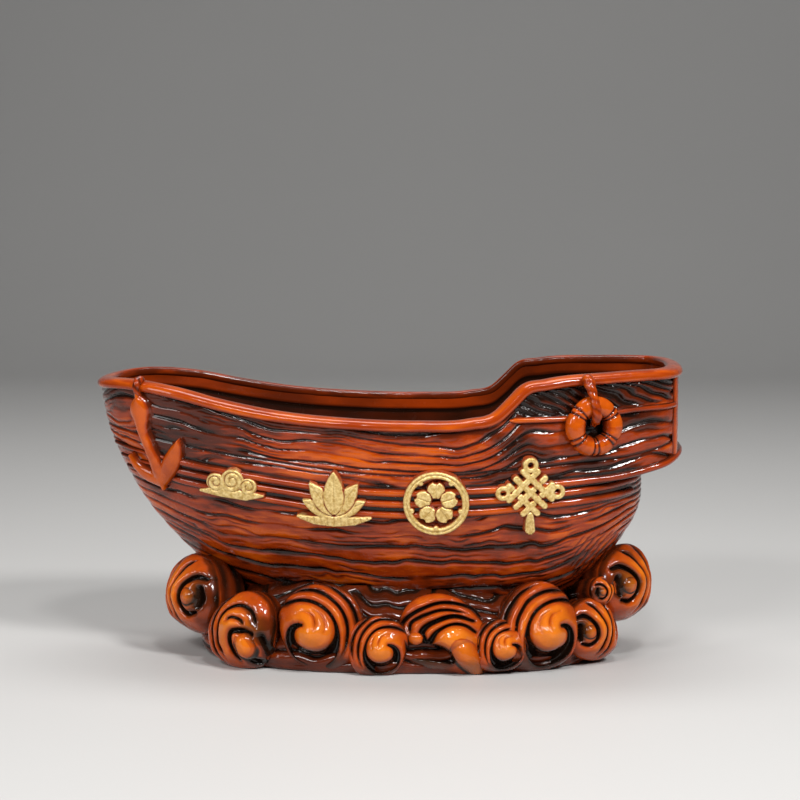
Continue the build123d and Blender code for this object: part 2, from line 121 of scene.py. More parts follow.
# ---- hull form, as in the CAD part
BOW_X, STERN_X, WIDEST_X, HALF_BEAM = -153.7, 142.3, 30.0, 70.5
WALL, LIP_PROUD, LIP_INSIDE, LIP_HEIGHT = 6.5, 2.0, 0.6, 5.2
DECK_Z, KEEL_Z, STEM_TOP_Z, HULL_BOTTOM_Z, FLOOR_Z = 127.0, 8.0, 137.0, 18.0, 30.0
CORNER_X = STERN_X - 13.0
LOWER_STERN_X, LOWER_START_X, RUN_TOP_Z = 124.4, 86.0, 82.0
BUOY_X, BUOY_Z, BUOY_RING, BUOY_TUBE, BUOY_TURN = 95.6, 123.2, 9.9, 4.9, math.radians(21.0)

sheer = curve([(-165, 140.2), (-140, 143.0), (-112, 140.3), (-90, 135.5), (-62, 130.6),
               (-25, 127.4), (10, 126.5), (36, 127.6), (50, 131.2), (57, 137.6), (63.5, 143.8),
               (74, 146.2), (108, 148.7), (152, 149.8)])
upper_rail = curve([(-160, 111.8), (-132, 106.6), (-104, 102.2), (-76, 97.9), (-40, 93.3),
                    (0, 91.0), (36, 92.2), (80, 95.1), (121, 99.4), (134, 103.0), (150, 109.5)])
middle_rail = curve([(-160, 105.0), (-132, 101.2), (-104, 97.2), (-57, 90.4), (-8, 85.4),
                     (36, 86.5), (81, 90.1), (119, 93.2), (150, 96.0)])
lower_rail = curve([(-160, 99.4), (-132, 96.0), (-104, 92.2), (-57, 84.7), (-8, 79.8),
                    (36, 81.0), (81, 84.9), (119, 87.7), (150, 90.0)])
quarter_rail = curve([(57, 127.0), (90, 127.6), (116, 130.2), (150, 132.0)])
keel_line = curve([(-160, 74.0), (-134, 52.0), (-110, 33.0), (-80, 20.0), (-40, 13.0),
                   (40, 12.0), (80, 18.0), (105, 38.0), (124, 62.0), (150, 90.0)])


def fall(z, top):
    return np.clip((top - np.asarray(z, float)) / (top - KEEL_Z), 0, 1)


def side_breadth(z):
    lean = 1 - 0.001 * np.maximum(0.0, z - DECK_Z)
    return HALF_BEAM * lean * (1 - fall(z, DECK_Z) ** 2.0) ** 0.6


def stem_x(z):
    return BOW_X * (1 - fall(z, STEM_TOP_Z) ** 1.7) ** 0.5


def run_x(z):
    drop = np.clip((RUN_TOP_Z - np.asarray(z, float)) / (RUN_TOP_Z - KEEL_Z), 0, 1)
    return WIDEST_X + (LOWER_STERN_X - WIDEST_X) * (1 - drop ** 1.5) ** 0.6


def skin(q, z, side, grow=0.0, lower=False):
    """Point of the hull skin. q runs from -1 at the stem through 0 at the widest to 1 astern."""
    q, z = np.broadcast_arrays(np.asarray(q, float), np.asarray(z, float))
    f, g = np.clip(-q, 0, 1), np.clip(q, 0, 1)
    breadth = side_breadth(z)
    fore_x = WIDEST_X + (stem_x(z) - grow - WIDEST_X) * f
    fullness = 0.40 + 0.30 * fall(z, STEM_TOP_Z)
    fore_b = (breadth + grow) * (1 - f ** 1.9) ** fullness
    end = (run_x(z) if lower else STERN_X) + grow
    start = LOWER_START_X - (LOWER_STERN_X - end) if lower else CORNER_X
    power = 2.3 if lower else 2.5
    aft_x = WIDEST_X + (end - WIDEST_X) * g
    share = np.clip((aft_x - start) / (end - start), 0, 1)
    taper = 1 - 0.50 * (np.clip(aft_x - WIDEST_X, 0, None) / (STERN_X - WIDEST_X)) ** 1.6
    aft_b = (breadth * taper + grow) * (1 - share ** power) ** (1 / power)
    x = np.where(q < 0, fore_x, aft_x)
    b = np.where(q < 0, fore_b, aft_b)
    return np.stack([x, side * b, z + 0 * x], -1)


def q_of_x(x, z, lower=False):
    """The q of a station."""
    end = run_x(z) if lower else STERN_X
    return np.where(x < WIDEST_X, -(WIDEST_X - x) / (WIDEST_X - stem_x(z)),
                    (x - WIDEST_X) / (end - WIDEST_X))


def even_q(spacing, z=120.0, lower=False):
    """Values of q evenly spaced along the waterline, and their distance from the first."""
    t = np.linspace(0, 1, 6000)
    dense = np.concatenate([-1 + t[:-1] ** 3, 1 - (1 - t) ** 3])
    p = skin(dense, z, PORT, 0.0, lower)
    s = distance_along(p)
    even = np.linspace(0, s[-1], max(8, int(s[-1] / spacing)))
    return np.interp(even, s, dense), even


def meet(q, line, x, side, grow=0.0, lower=False):
    """Stations and heights where the skin at q meets a line of heights, from a first guess of x."""
    for _ in range(4):
        z = line(x)
        x = skin(q, z, side, grow, lower)[:, 0]
    return x, z


def skin_normal(q, z, side, lower=False):
    """Outward unit normal of the skin."""
    dq, dz = 1e-3, 0.5
    q = np.clip(q, -1 + 2 * dq, 1 - 2 * dq)
    along = skin(q + dq, z, side, 0, lower) - skin(q - dq, z, side, 0, lower)
    up = skin(q, z + dz, side, 0, lower) - skin(q, z - dz, side, 0, lower)
    return unit(np.cross(along, up) * (-side))


def off_skin(q, z, side, out, lower=False):
    """Points standing out from the skin."""
    return skin(q, z, side, 0, lower) + skin_normal(q, z, side, lower) * out[..., None]


BED_X, BED_TOP = -160.0, 92.0       # first station and highest level of the bedding grid
MID_WALL = 3.0                      # from the outside to about the middle of the wall


def bedding_heights():
    """Height of the middle of the bowl's wall over a grid of x and y: nothing outside may pass it."""
    x, y = np.arange(BED_X, 151.0), np.arange(0.0, 78.0)
    heights = np.full((len(x), len(y)), 400.0)
    for z in np.arange(BED_TOP, HULL_BOTTOM_Z - 0.5, -1.0):
        end = np.where(x < WIDEST_X, stem_x(z) + MID_WALL, run_x(z) - MID_WALL)
        q = np.clip((x - WIDEST_X) / np.abs(end - WIDEST_X), -1, 1)
        breadth = np.abs(skin(q, z, PORT, -MID_WALL, True)[:, 1])
        heights[y[None, :] < breadth[:, None]] = max(z, FLOOR_Z - 7.0)
    return heights


BEDDING = bedding_heights()


def keep_out_of_bowl(p):
    """Lowers the points that would come through the wall or the floor of the bowl."""
    x = np.clip(p[..., 0] - BED_X, 0, BEDDING.shape[0] - 1.001)
    y = np.clip(np.abs(p[..., 1]), 0, BEDDING.shape[1] - 1.001)
    i, j = x.astype(int), y.astype(int)
    lowest = np.minimum(np.minimum(BEDDING[i, j], BEDDING[i + 1, j]),
                        np.minimum(BEDDING[i, j + 1], BEDDING[i + 1, j + 1]))
    p[..., 2] = np.minimum(p[..., 2], lowest)
    return p


# ---- meshes
def grid_faces(rows, cols, wrap_rows=False, wrap_cols=False, flip=False):
    """Quads of a grid of points, row by row."""
    r = np.arange(rows if wrap_rows else rows - 1)
    c = np.arange(cols if wrap_cols else cols - 1)
    r, c = np.meshgrid(r, c, indexing="ij")
    r2, c2 = (r + 1) % rows, (c + 1) % cols
    quads = np.stack([r * cols + c, r * cols + c2, r2 * cols + c2, r2 * cols + c], -1).reshape(-1, 4)
    return quads[:, ::-1] if flip else quads


def make_mesh(node, points, faces, wash_and_shade, material, painted_highlight=None, name=None, fan=()):
    """Builds the piece that is seen for a node, given per point its brown wash with painted shade
    and its painted highlight, which lifts the glaze to orange; fan holds the triangles that go with the
    faces."""
    points = np.asarray(points, float).reshape(-1, 3) - (MIDDLE_X, 0.0, 0.0)
    fan = np.asarray(fan, int).reshape(-1, 3)
    used = np.unique(np.concatenate([faces.ravel(), fan.ravel()]))
    renumber = np.zeros(len(points), int)
    renumber[used] = np.arange(len(used))
    name = name or node + "_visual"
    mesh = bpy.data.meshes.new(name)
    mesh.from_pydata((points[used] * MM).tolist(), [],
                     renumber[faces].tolist() + renumber[fan].tolist())
    for label, values in (("wash_and_shade", wash_and_shade), ("painted_highlight", np.zeros(len(points)) if painted_highlight is None else painted_highlight)):
        layer = mesh.attributes.new(label, "FLOAT", "POINT")
        layer.data.foreach_set("value", np.asarray(values, float).reshape(-1)[used].astype(np.float32))
    mesh.polygons.foreach_set("use_smooth", [True] * len(mesh.polygons))
    mesh.materials.append(material)
    mesh.update()
    piece = bpy.data.objects.new(name, mesh)
    bpy.context.scene.collection.objects.link(piece)
    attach(piece, "root")
    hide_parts(node)


# ---- materials
def feed(tree, node, **inputs):
    """Gives a node's inputs plain values or the outputs of other nodes."""
    for name, value in inputs.items():
        socket = node.inputs[name.replace("_", " ")]
        if isinstance(value, bpy.types.NodeSocket):
            tree.links.new(value, socket)
        else:
            socket.default_value = value


def add_node(tree, kind, settings=None, **inputs):
    """One shader node with its own settings and its inputs."""
    node = tree.nodes.new("ShaderNode" + kind)
    for name, value in (settings or {}).items():
        setattr(node, name, value)
    feed(tree, node, **inputs)
    return node


def attribute(tree, name):
    return add_node(tree, "Attribute", {"attribute_name": name}).outputs["Fac"]


def noise(tree, place, scale, detail, roughness=0.5):
    return add_node(tree, "TexNoise", Vector=place, Scale=scale, Detail=detail,
                    Roughness=roughness).outputs["Fac"]


def lift(tree, value, gain, offset, more, clamp=False):
    """value * gain + offset + more."""
    scaled = add_node(tree, "Math", {"operation": "MULTIPLY_ADD"})
    tree.links.new(value, scaled.inputs[0])
    scaled.inputs[1].default_value = gain
    scaled.inputs[2].default_value = offset
    total = add_node(tree, "Math", {"operation": "ADD", "use_clamp": clamp})
    tree.links.new(scaled.outputs[0], total.inputs[0])
    tree.links.new(more, total.inputs[1])
    return total.outputs[0]


def ramp(tree, value, stops, interpolation="LINEAR"):
    """Colours over a value. stops: (position, linear rgb)."""
    node = add_node(tree, "ValToRGB", Fac=value)
    node.color_ramp.interpolation = interpolation
    elements = node.color_ramp.elements
    while len(elements) < len(stops):
        elements.new(0.5)
    for element, (position, rgb) in zip(elements, stops):
        element.position = position
        element.color = (*rgb, 1.0)
    return node.outputs["Color"]


def mixed(tree, share, first, second):
    """first where share is 0 and second, a plain colour, where it is 1."""
    return add_node(tree, "Mix", {"data_type": "RGBA"}, Factor=share, A=first, B=second).outputs["Result"]


def ranged(tree, value, low, high, **source):
    """A value carried over to a range from low to high."""
    return add_node(tree, "MapRange", Value=value, To_Min=low, To_Max=high, **source).outputs["Result"]


def new_material(name):
    """A node material, its shader and the object's own coordinates."""
    material = bpy.data.materials.new(name)
    material.use_nodes = True
    tree = material.node_tree
    return material, tree, tree.nodes["Principled BSDF"], add_node(tree, "TexCoord").outputs["Object"]


def glaze(name, colours, roughness, bump, mottle):
    """Brown wash and painted shade over orange stoneware under a clear glaze, lifted to a bright orange
    where a highlight is painted.
    """
    material, tree, shader, place = new_material(name)
    stretched = add_node(tree, "Mapping", Vector=place, Scale=(0.35, 1.0, 1.0)).outputs["Vector"]
    cloud = noise(tree, stretched, 70.0, 6.0, 0.62)
    wash_and_shade = lift(tree, cloud, 2.2 * mottle, -1.1 * mottle, attribute(tree, "wash_and_shade"), clamp=True)
    brown = ramp(tree, wash_and_shade, colours, "EASE")
    speck = noise(tree, place, 220.0, 3.0, 0.6)
    relief = add_node(tree, "Bump", Strength=bump, Distance=0.0006, Height=speck).outputs["Normal"]
    # the painted highlight mixes a bright orange into the colour
    feed(tree, shader, Base_Color=mixed(tree, attribute(tree, "painted_highlight"), brown, (0.76, 0.215, 0.014, 1.0)),
         Roughness=ranged(tree, speck, roughness * 0.7, roughness * 1.5, From_Min=0.3, From_Max=0.7),
         Normal=relief, Specular_IOR_Level=0.12,
         Coat_Weight=ranged(tree, wash_and_shade, 0.60, 0.50), Coat_Roughness=0.07, Coat_Normal=relief)
    return material


def gold_lustre():
    """Speckled gold lustre, with the orange body showing where it is worn at the edges."""
    material, tree, shader, place = new_material("gilding")
    speck = noise(tree, place, 620.0, 4.0, 0.65)
    gold = ramp(tree, speck, [(0.36, (0.58, 0.36, 0.085)), (0.62, (0.92, 0.70, 0.30))])
    patch = noise(tree, place, 160.0, 5.0, 0.6)
    worn = lift(tree, patch, 0.9, -0.45, attribute(tree, "wash_and_shade"))
    edge = ramp(tree, worn, [(0.42, (0, 0, 0)), (0.62, (1, 1, 1))])
    relief = add_node(tree, "Bump", Strength=0.5, Distance=0.0004, Height=speck).outputs["Normal"]
    feed(tree, shader, Base_Color=mixed(tree, edge, gold, (0.30, 0.045, 0.008, 1.0)),
         Metallic=ranged(tree, edge, 0.45, 0.0), Roughness=0.42, Normal=relief,
         Coat_Weight=0.25, Coat_Roughness=0.15)
    return material


BODY_COLOURS = [(0.0, (0.56, 0.088, 0.002)), (0.30, (0.30, 0.032, 0.002)),
                (0.58, (0.085, 0.011, 0.002)), (0.95, (0.012, 0.004, 0.002))]
WAVE_COLOURS = [(0.0, (0.62, 0.125, 0.004)), (0.32, (0.38, 0.048, 0.003)),
                (0.60, (0.090, 0.012, 0.002)), (0.95, (0.010, 0.004, 0.002))]
body_glaze = glaze("carved_body_glaze", BODY_COLOURS, 0.22, 0.35, 0.16)
smooth_glaze = glaze("smooth_body_glaze", BODY_COLOURS, 0.20, 0.18, 0.10)
wave_glaze = glaze("wave_glaze", WAVE_COLOURS, 0.20, 0.22, 0.12)
gilding = gold_lustre()


# ---- carving of the planks
def groove(field, spacing, width):
    """Carved lines on the whole numbers of a field: 1 in the line, 0 away from it."""
    return bell((field - np.round(field)) * spacing, width)


def carving(x, s, z, side):
    """Depth carved into the planks (mm) and their brown wash with painted shade, at station x, girth s,
    height z.
    """
    seed = 11 if side == PORT else 71
    top, up, low = sheer(x) - LIP_HEIGHT, upper_rail(x), lower_rail(x)
    # long grain above the rails, arched where the noise swells
    above = (z - up) / np.maximum(top - up, 6.0)
    swell = 1.9 * cloudy(s / 62, above * 1.25, seed, 2) + 0.45 * cloudy(s / 17, above * 3, seed + 3, 2)
    field = 5.4 * above + swell
    here = smooth(-0.30, 0.25, cloudy(s / 30, np.round(field) * 5.7, seed + 5, 2) + 0.12)
    width = 0.62 + 0.30 * cloudy(s / 11, z / 5, seed + 7, 1)
    upper_cut = groove(field, 5.6, width) * (0.25 + 0.75 * here)
    fine = groove(field * 2.6 + 0.6 * cloudy(s / 9, z / 3, seed + 9, 1), 2.1, 0.34)
    upper_cut = np.maximum(upper_cut, 0.45 * fine * smooth(-0.1, 0.5, cloudy(s / 22, z / 7, seed + 13)))
    seam = bell(z - up - 9.0 - 1.2 * value_noise(s / 40, 0.5, seed), 0.7)
    upper_cut = np.maximum(upper_cut, 0.8 * seam)
    # long planks below the rails, drawn together towards the stem and the sternpost
    below = (low - 3.0 - z) / np.maximum(low - keel_line(x), 8.0)
    sway = 1.25 * cloudy(s / 70, below * 1.6, seed + 21, 2) + 0.30 * cloudy(s / 15, below * 5, seed + 23, 2)
    field = 9.0 * below + sway
    here = smooth(-0.35, 0.15, cloudy(s / 34, np.round(field) * 3.9, seed + 25, 2) + 0.2)
    width = 0.66 + 0.34 * cloudy(s / 13, z / 6, seed + 27, 1)
    lower_cut = groove(field, 5.6, width) * (0.2 + 0.8 * here)
    fine = groove(field * 2.3 + 0.7 * cloudy(s / 10, z / 3, seed + 29, 1), 2.3, 0.36)
    lower_cut = np.maximum(lower_cut, 0.5 * fine * smooth(-0.1, 0.5, cloudy(s / 25, z / 8, seed + 31)))
    fan = groove((x * 0.9 - z * 0.75) / 3.4 + 0.5 * cloudy(x / 14, z / 9, seed + 33), 3.4, 0.5)
    fan = fan * smooth(84, 96, x) * smooth(70, 60, z)
    lower_cut = np.maximum(lower_cut * (1 - 0.7 * smooth(84, 96, x) * smooth(70, 60, z)), fan)
    # the panel under the poop rail is cut across the grain
    panel = smooth(56, 62, x) * smooth(139, 134, x) * smooth(1.5, 3.0, z - quarter_rail(x))
    slant = groove((z + 0.42 * x) / 3.9 + 0.8 * cloudy(x / 16, z / 7, seed + 41, 2), 3.9, 0.7)
    in_rails = smooth(-3.2, -2.0, z - low) * smooth(3.6, 2.4, z - up)
    in_rails = in_rails * smooth(-134, -112, x) * smooth(124, 114, x)
    is_above = smooth(-1.0, 1.0, z - up)
    cut = np.where(is_above > 0.5, upper_cut * (1 - panel) + slant * panel, lower_cut)
    cut = cut * (1 - in_rails)
    fibre = cloudy(s / 7.0, z / 0.9, seed + 51, 2)
    depth = 1.25 * cut + 0.11 * fibre + 0.30 * cloudy(s / 30, z / 9, seed + 53, 2) + 0.5 * slant * panel
    patch = cloudy(s / 24 + z / 19, z / 9 - s / 75, seed + 61, 3)
    wash_and_shade = 0.27 + 0.80 * cut + 0.14 * fibre + 0.40 * patch
    wash_and_shade = wash_and_shade + 0.62 * in_rails + 0.26 * panel
    # painted shadow in a band under the lip; darker towards the bottom of the hull
    wash_and_shade = wash_and_shade + 0.30 * bell(top - z, 4.0) + 0.18 * smooth(46, 24, z)
    # painted shade in the lifebuoy's hole and behind its ring
    wash_and_shade = wash_and_shade + 0.70 * np.exp(-(((x - BUOY_X) ** 2 + (z - BUOY_Z) ** 2) / 9.0 ** 2) ** 2)
    bow_dark = smooth(-66, -108, x) * smooth(-134, -122, x) * smooth(-2, 5, z - up)
    quarter_dark = smooth(34, 62, x) * smooth(141, 118, x) * is_above
    wash_and_shade = wash_and_shade + 0.26 * bow_dark + 0.20 * quarter_dark
    return depth, wash_and_shade


# ---- hull
BAND_TOP = 8.6          # the thin band inside the mouth starts this far under the sheer


def hull_rows(grow, spacing, bottom, carved):
    """Closed grid of one hull surface, gunwale down to bottom. Returns its points and their brown wash with
    painted shade.
    """
    q, s = even_q(spacing)
    from_centre = np.minimum(s, s[-1] - s)[None, :]
    shared = 0.5 * smooth(18, 0, from_centre)
    all_points, all_wash = [], []
    for side in (PORT, STARBOARD):
        points, wash_and_shade = [], []
        for lower in (False, True):
            # the upper part ends just under the upper rub rail, and astern it overhangs the lower
            gap = -3.3 if lower else -1.9
            first = skin(q, 120.0, side, grow, lower)[:, 0]
            x, edge = meet(q, lambda x: upper_rail(x) - grow + gap, first, side, grow, lower)
            if lower:
                rows = max(10, int(92 / spacing))
                start, end = edge, np.full_like(edge, bottom)
            else:
                rows = max(8, int(44 / spacing))
                _, top = meet(q, lambda x: sheer(x) - LIP_HEIGHT + 2.0, x, side, grow, lower)
                start, end = top, edge
            t = np.linspace(0, 1, rows)[:, None]
            if lower:
                t = t * (1 - 0.16 * (1 - t))
            z = start[None, :] * (1 - t) + end[None, :] * t
            p = skin(q[None, :], z, side, grow, lower)
            n = skin_normal(q[None, :] + 0 * z, z, side, lower)
            if carved:
                girth = s[None, :] + 0 * z
                depth, w = carving(p[..., 0], girth, z, side)
                other_depth, other_w = carving(p[..., 0], girth, z, -side)
                depth = depth + (other_depth - depth) * shared
                w = w + (other_w - w) * shared
                p = p - n * (depth * smooth(0, 2.5, from_centre))[..., None]
            else:
                drop = sheer(p[..., 0]) - z
                below = smooth(BAND_TOP, BAND_TOP + 1.0, drop)
                p = p + n * (1.3 * below * smooth(60, 40, drop))[..., None]
                # the wall below the band is darker, brown glaze with painted shade deeper in the bowl, and
                # a line of painted shadow lies under the step
                w = (0.44 + 0.12 * cloudy(s[None, :] / 30, z / 18, 91) + 0.36 * below
                     + 0.40 * bell(drop - BAND_TOP - 1.2, 0.8))
            points.append(p)
            wash_and_shade.append(w)
        all_points.append(np.concatenate(points))
        all_wash.append(np.concatenate(wash_and_shade))
    points = np.concatenate([all_points[0], all_points[1][:, ::-1][:, 1:-1]], axis=1)
    wash_and_shade = np.concatenate([all_wash[0], all_wash[1][:, ::-1][:, 1:-1]], axis=1)
    if carved:
        points[:, 0, 1] = 0
    return points, wash_and_shade


def build_hull(name, material, grow, spacing, bottom, carved):
    """Outside or inside of the hull, closed at the bottom by a fan round its middle."""
    points, wash_and_shade = hull_rows(grow, spacing, bottom, carved)
    rows, cols = points.shape[:2]
    flat = points.reshape(-1, 3)
    centre = np.array([[flat[-cols:, 0].mean(), 0.0, flat[-cols:, 2].mean()]])
    last = (rows - 1) * cols + np.arange(cols)
    fan = np.stack([last, np.roll(last, -1), np.full(cols, len(flat))], -1)
    make_mesh("hull_shell", np.concatenate([flat, centre]),
              grid_faces(rows, cols, wrap_cols=True, flip=carved),
              np.concatenate([wash_and_shade.reshape(-1), [0.6]]), material, name=name,
              fan=fan[:, ::-1] if carved else fan)


# ---- gunwale
def build_gunwale():
    """Rolled lip round the mouth: a rounded section carried along the sheer on both sides."""
    q, s = even_q(0.9 * FINE)
    turns = 26
    phi = circle(turns)
    c, t = np.cos(phi), np.sin(phi)
    half_w, half_h = (WALL + LIP_INSIDE + LIP_PROUD) / 2, LIP_HEIGHT / 2
    across = np.sign(c) * np.abs(c) ** 0.72 * half_w
    height = np.sign(t) * np.abs(t) ** 0.80 * half_h
    lean = 0.55 * np.clip(across / half_w, -1, 1)
    sides, washes_and_shades = [], []
    for side in (PORT, STARBOARD):
        seed = int(side)
        x, _ = meet(q, lambda x: sheer(x) - half_h, skin(q, 130.0, side)[:, 0], side)
        line = skin(q, sheer(x) - half_h, side)
        normal = skin_normal(q, np.full_like(q, 130.0), side)
        normal[:, 2] = 0
        normal = unit(normal)
        up = np.cross(unit(np.gradient(line, axis=0)), normal) * (1 if side == PORT else -1)
        up *= np.sign(up[:, 2:3])
        wobble = 1 + 0.05 * cloudy(s / 21, 0.3, 5 + seed)
        middle = line + normal * (LIP_PROUD - half_w)
        ring = (middle[:, None, :] + up[:, None, :] * ((height - lean)[None, :, None])
                + normal[:, None, :] * (across[None, :, None] * wobble[:, None, None]))
        rub = 0.16 * cloudy(s[:, None] / 6, phi[None, :] / 0.8, 31 + seed, 2)
        sides.append(ring + normal[:, None, :] * rub[..., None])
        # painted shade on the underside of the lip; the inner side is darker brown like the inside of the
        # bowl
        washes_and_shades.append(0.20 + 0.42 * smooth(0.25, 0.95, -t)[None, :] + 0.30 * smooth(0.2, 0.9, -c)[None, :]
                      + 0.22 * cloudy(s[:, None] / 16, phi[None, :], 37, 3))
    points = np.concatenate([sides[0], sides[1][::-1][1:-1]])
    wash_and_shade = np.concatenate([washes_and_shades[0], washes_and_shades[1][::-1][1:-1]])
    for end in (0, len(q) - 1):
        points[end, :, 1] = 0
    make_mesh("gunwale_rim", points, grid_faces(len(points), turns, True, True, True), wash_and_shade, smooth_glaze)


# ---- rails laid along the hull
def build_strip(name, line, first_x, last_x, half_height, proud, side, lower, to_centre=False):
    """Half-round strip along a line of heights, tapering in at its free ends."""
    q, s = even_q(0.8 * FINE, 92.0, lower)
    seed = int(side)
    first = skin(q, 95.0, side, 0, lower)[:, 0]
    x, _ = meet(q, line, first, side, 0, lower)
    keep = (x > first_x) & ((x < last_x) | to_centre)
    q, s, x = q[keep], s[keep], x[keep]
    turns = 13
    phi = np.linspace(-0.62 * np.pi, 0.62 * np.pi, turns)
    ends = smooth(0, 3.0, s - s[0])
    if not to_centre:
        ends = ends * smooth(0, 3.0, s[-1] - s)
    size = (0.35 + 0.65 * ends) * (1 - 0.45 * smooth(-106, -118, x))
    wander = 0.35 * cloudy(s / 28, 0.2, 41 + seed, 2)
    z = (line(x) + wander)[:, None] + half_height * np.sin(phi)[None, :] * size[:, None]
    out = proud * np.cos(phi)[None, :] * size[:, None]
    out = out + 0.14 * cloudy(s[:, None] / 7, phi[None, :], 43 + seed, 2)
    p = off_skin(q[:, None] + 0 * z, z, side, out, lower)
    if to_centre:
        p[-1, :, 1] = 0
    wash_and_shade = 0.62 - 0.46 * smooth(0.2, 0.95, np.cos(phi)[None, :])
    wash_and_shade = wash_and_shade + 0.20 * cloudy(s[:, None] / 18, 0 * z, 47, 3)
    wash_and_shade = wash_and_shade + 0.16 * smooth(-80, -100, x)[:, None] + 0.10 * smooth(80, 110, x)[:, None]
    make_mesh(sided(name, side), p, grid_faces(len(q), turns, flip=side == PORT), wash_and_shade, smooth_glaze)


# ---- reliefs laid on the hull
def build_relief(node, material, box, height, side, step):
    """Raised shape over a side-view box. height(x, z) gives relief and wash; under 0 is hidden."""
    x0, x1, z0, z1 = box
    x, z = np.meshgrid(np.arange(x0, x1 + step, step), np.arange(z0, z1 + step, step))
    h, wash_and_shade = height(x, z)
    p = off_skin(q_of_x(x, z), z, side, h)
    faces = grid_faces(*x.shape, flip=side == STARBOARD)
    shown = h.reshape(-1)[faces].max(axis=1) > -0.75
    make_mesh(node, p, faces[shown], wash_and_shade, material)


def along_stroke(u, v, stroke):
    """For each straight stretch of a stroke of (u, v, half width) points: the half width
    nearest to every point of the face, and the way from there to that point."""
    for (au, av, ar), (bu, bv, br) in zip(stroke[:-1], stroke[1:]):
        du, dv = bu - au, bv - av
        t = np.clip(((u - au) * du + (v - av) * dv) / (du * du + dv * dv + 1e-9), 0, 1)
        yield ar + (br - ar) * t, u - au - du * t, v - av - dv * t


def distance_to_stroke(x, z, stroke):
    """Signed distance to a tapering stroke, and its local half width."""
    best = np.full(np.broadcast(x, z).shape, 1e3)
    width = np.ones_like(best)
    for r, off_x, off_z in along_stroke(x, z, stroke):
        d = np.hypot(off_x, off_z) - r
        closer = d < best
        best, width = np.where(closer, d, best), np.where(closer, r, width)
    return best, width


def round_stroke(x, z, strokes, tall):
    """Half-round strokes melted together. Returns height, negative outside."""
    total = np.full(x.shape, -1.0)
    blend = 0.7
    for stroke in strokes:
        d, r = distance_to_stroke(x, z, stroke)
        rho = np.clip((d + r) / r, 0, 1.6)
        h = np.where(rho < 1, tall * np.sqrt(np.clip(1 - rho * rho, 0, 1)), -2.6 * (rho - 1))
        h = np.maximum(h, -1.0)
        k = np.clip(0.5 + 0.5 * (h - total) / blend, 0, 1)
        total = total * (1 - k) + h * k + blend * k * (1 - k) * (h > -0.9)
    return total


def free_line(*points):
    """Smooth line through (u, v, half width) points."""
    steps = np.linspace(0, len(points) - 1, 36)
    u, v, half = (curve([(k, p[n]) for k, p in enumerate(points)])(steps) for n in range(3))
    return np.stack([u, v, np.maximum(half, 0.001)], -1)


# shank and ring, fluke forward, fluke aft, tip
ANCHOR = [
    free_line((-128.6, 138.0, 1.2), (-128.3, 135.2, 1.4), (-128.2, 132.0, 4.0), (-128.4, 128.6, 5.4),
              (-127.8, 124.6, 4.2), (-126.4, 117.0, 2.8), (-122.6, 106.4, 3.0), (-119.0, 97.0, 4.2)),
    free_line((-134.0, 105.0, 0.6), (-131.0, 99.6, 2.2), (-125.6, 95.0, 3.6), (-118.0, 92.2, 3.6)),
    free_line((-107.8, 114.6, 0.6), (-109.8, 108.6, 3.6), (-112.9, 101.4, 5.2), (-117.2, 93.2, 3.8)),
    free_line((-119.4, 97.5, 4.2), (-116.6, 88.8, 1.0)),
]


def anchor_height(x, z):
    h = round_stroke(x, z, ANCHOR, 4.4)
    h = h + 0.12 * cloudy(x / 3, z / 3, 61, 2) * (h > 0)
    return h, 0.64 - 0.58 * smooth(0.8, 3.6, h) + 0.18 * cloudy(x / 7, z / 7, 63, 3)


def build_anchor_cord():
    """Short cord from the port anchor's ring up over the gunwale."""
    z = np.array([133.6, 135.6, 138.0, 141.2, 143.3, 143.2])
    path = off_skin(q_of_x(-128.6, z), z, PORT, np.array([0.4, 2.2, 3.2, 3.0, 0.6, -2.4]))
    build_cord("anchor_port", path, [1.4, 1.6, 1.6, 2.0, 2.2, 1.8], 0.34, "anchor_port_cord")


def plateau(d, tall):
    """Flat-topped relief with rounded edges from a signed distance."""
    t = np.clip(-d, 0, 1)
    inside = tall * (0.45 + 0.55 * np.sqrt(1 - (1 - t) ** 2))
    return np.where(d < 0, inside, np.maximum(-1.0, -1.6 * d / 0.5 + 0.45 * tall * np.exp(-d / 0.12)))


def finish_gilt(x, z, d, cuts):
    """Relief and wear of a gilt ornament, with fine lines cut into it."""
    h = plateau(d, 3.3)
    h = h + (0.14 * cloudy(x / 2.2, z / 2.2, 81, 2) - 0.9 * cuts) * (d < -0.2)
    wash_and_shade = 0.85 * smooth(-0.9, 0.1, d) + 0.75 * cuts - 0.1
    return h, wash_and_shade


def ring_distance(x, z, cx, cz, radius, half):
    return np.abs(np.hypot(x - cx, z - cz) - radius) - half


def spiral_line(x, z, cx, cz, radius, pitch, hand, width):
    """A spiral line inside a circle: 1 on the line."""
    r = np.hypot(x - cx, z - cz)
    a = np.arctan2(z - cz, x - cx)
    line = groove(r / pitch - hand * a / (2 * np.pi), pitch, width)
    return line * smooth(radius, radius - 0.8, r) * smooth(0.5, 1.2, r)


def cloud_height(x, z):
    """Drifting cloud scroll: three curled heads on a long tail."""
    d, _ = distance_to_stroke(x, z, [(-97.0, 89.6, 1.0), (-88.0, 89.4, 2.7),
                                     (-74.0, 87.8, 2.7), (-65.5, 88.2, 1.0)])
    cuts = np.zeros(x.shape)
    for cx, cz, r, hand in ((-89.2, 94.2, 4.9, 1), (-80.8, 95.2, 6.1, -1), (-72.6, 92.6, 4.4, 1)):
        own = np.hypot(x - cx, z - cz) - r
        cuts = np.maximum(cuts * (own > 0), spiral_line(x, z, cx, cz, r, 2.5, hand, 0.42))
        d = np.minimum(d, own)
    return finish_gilt(x, z, d, cuts)


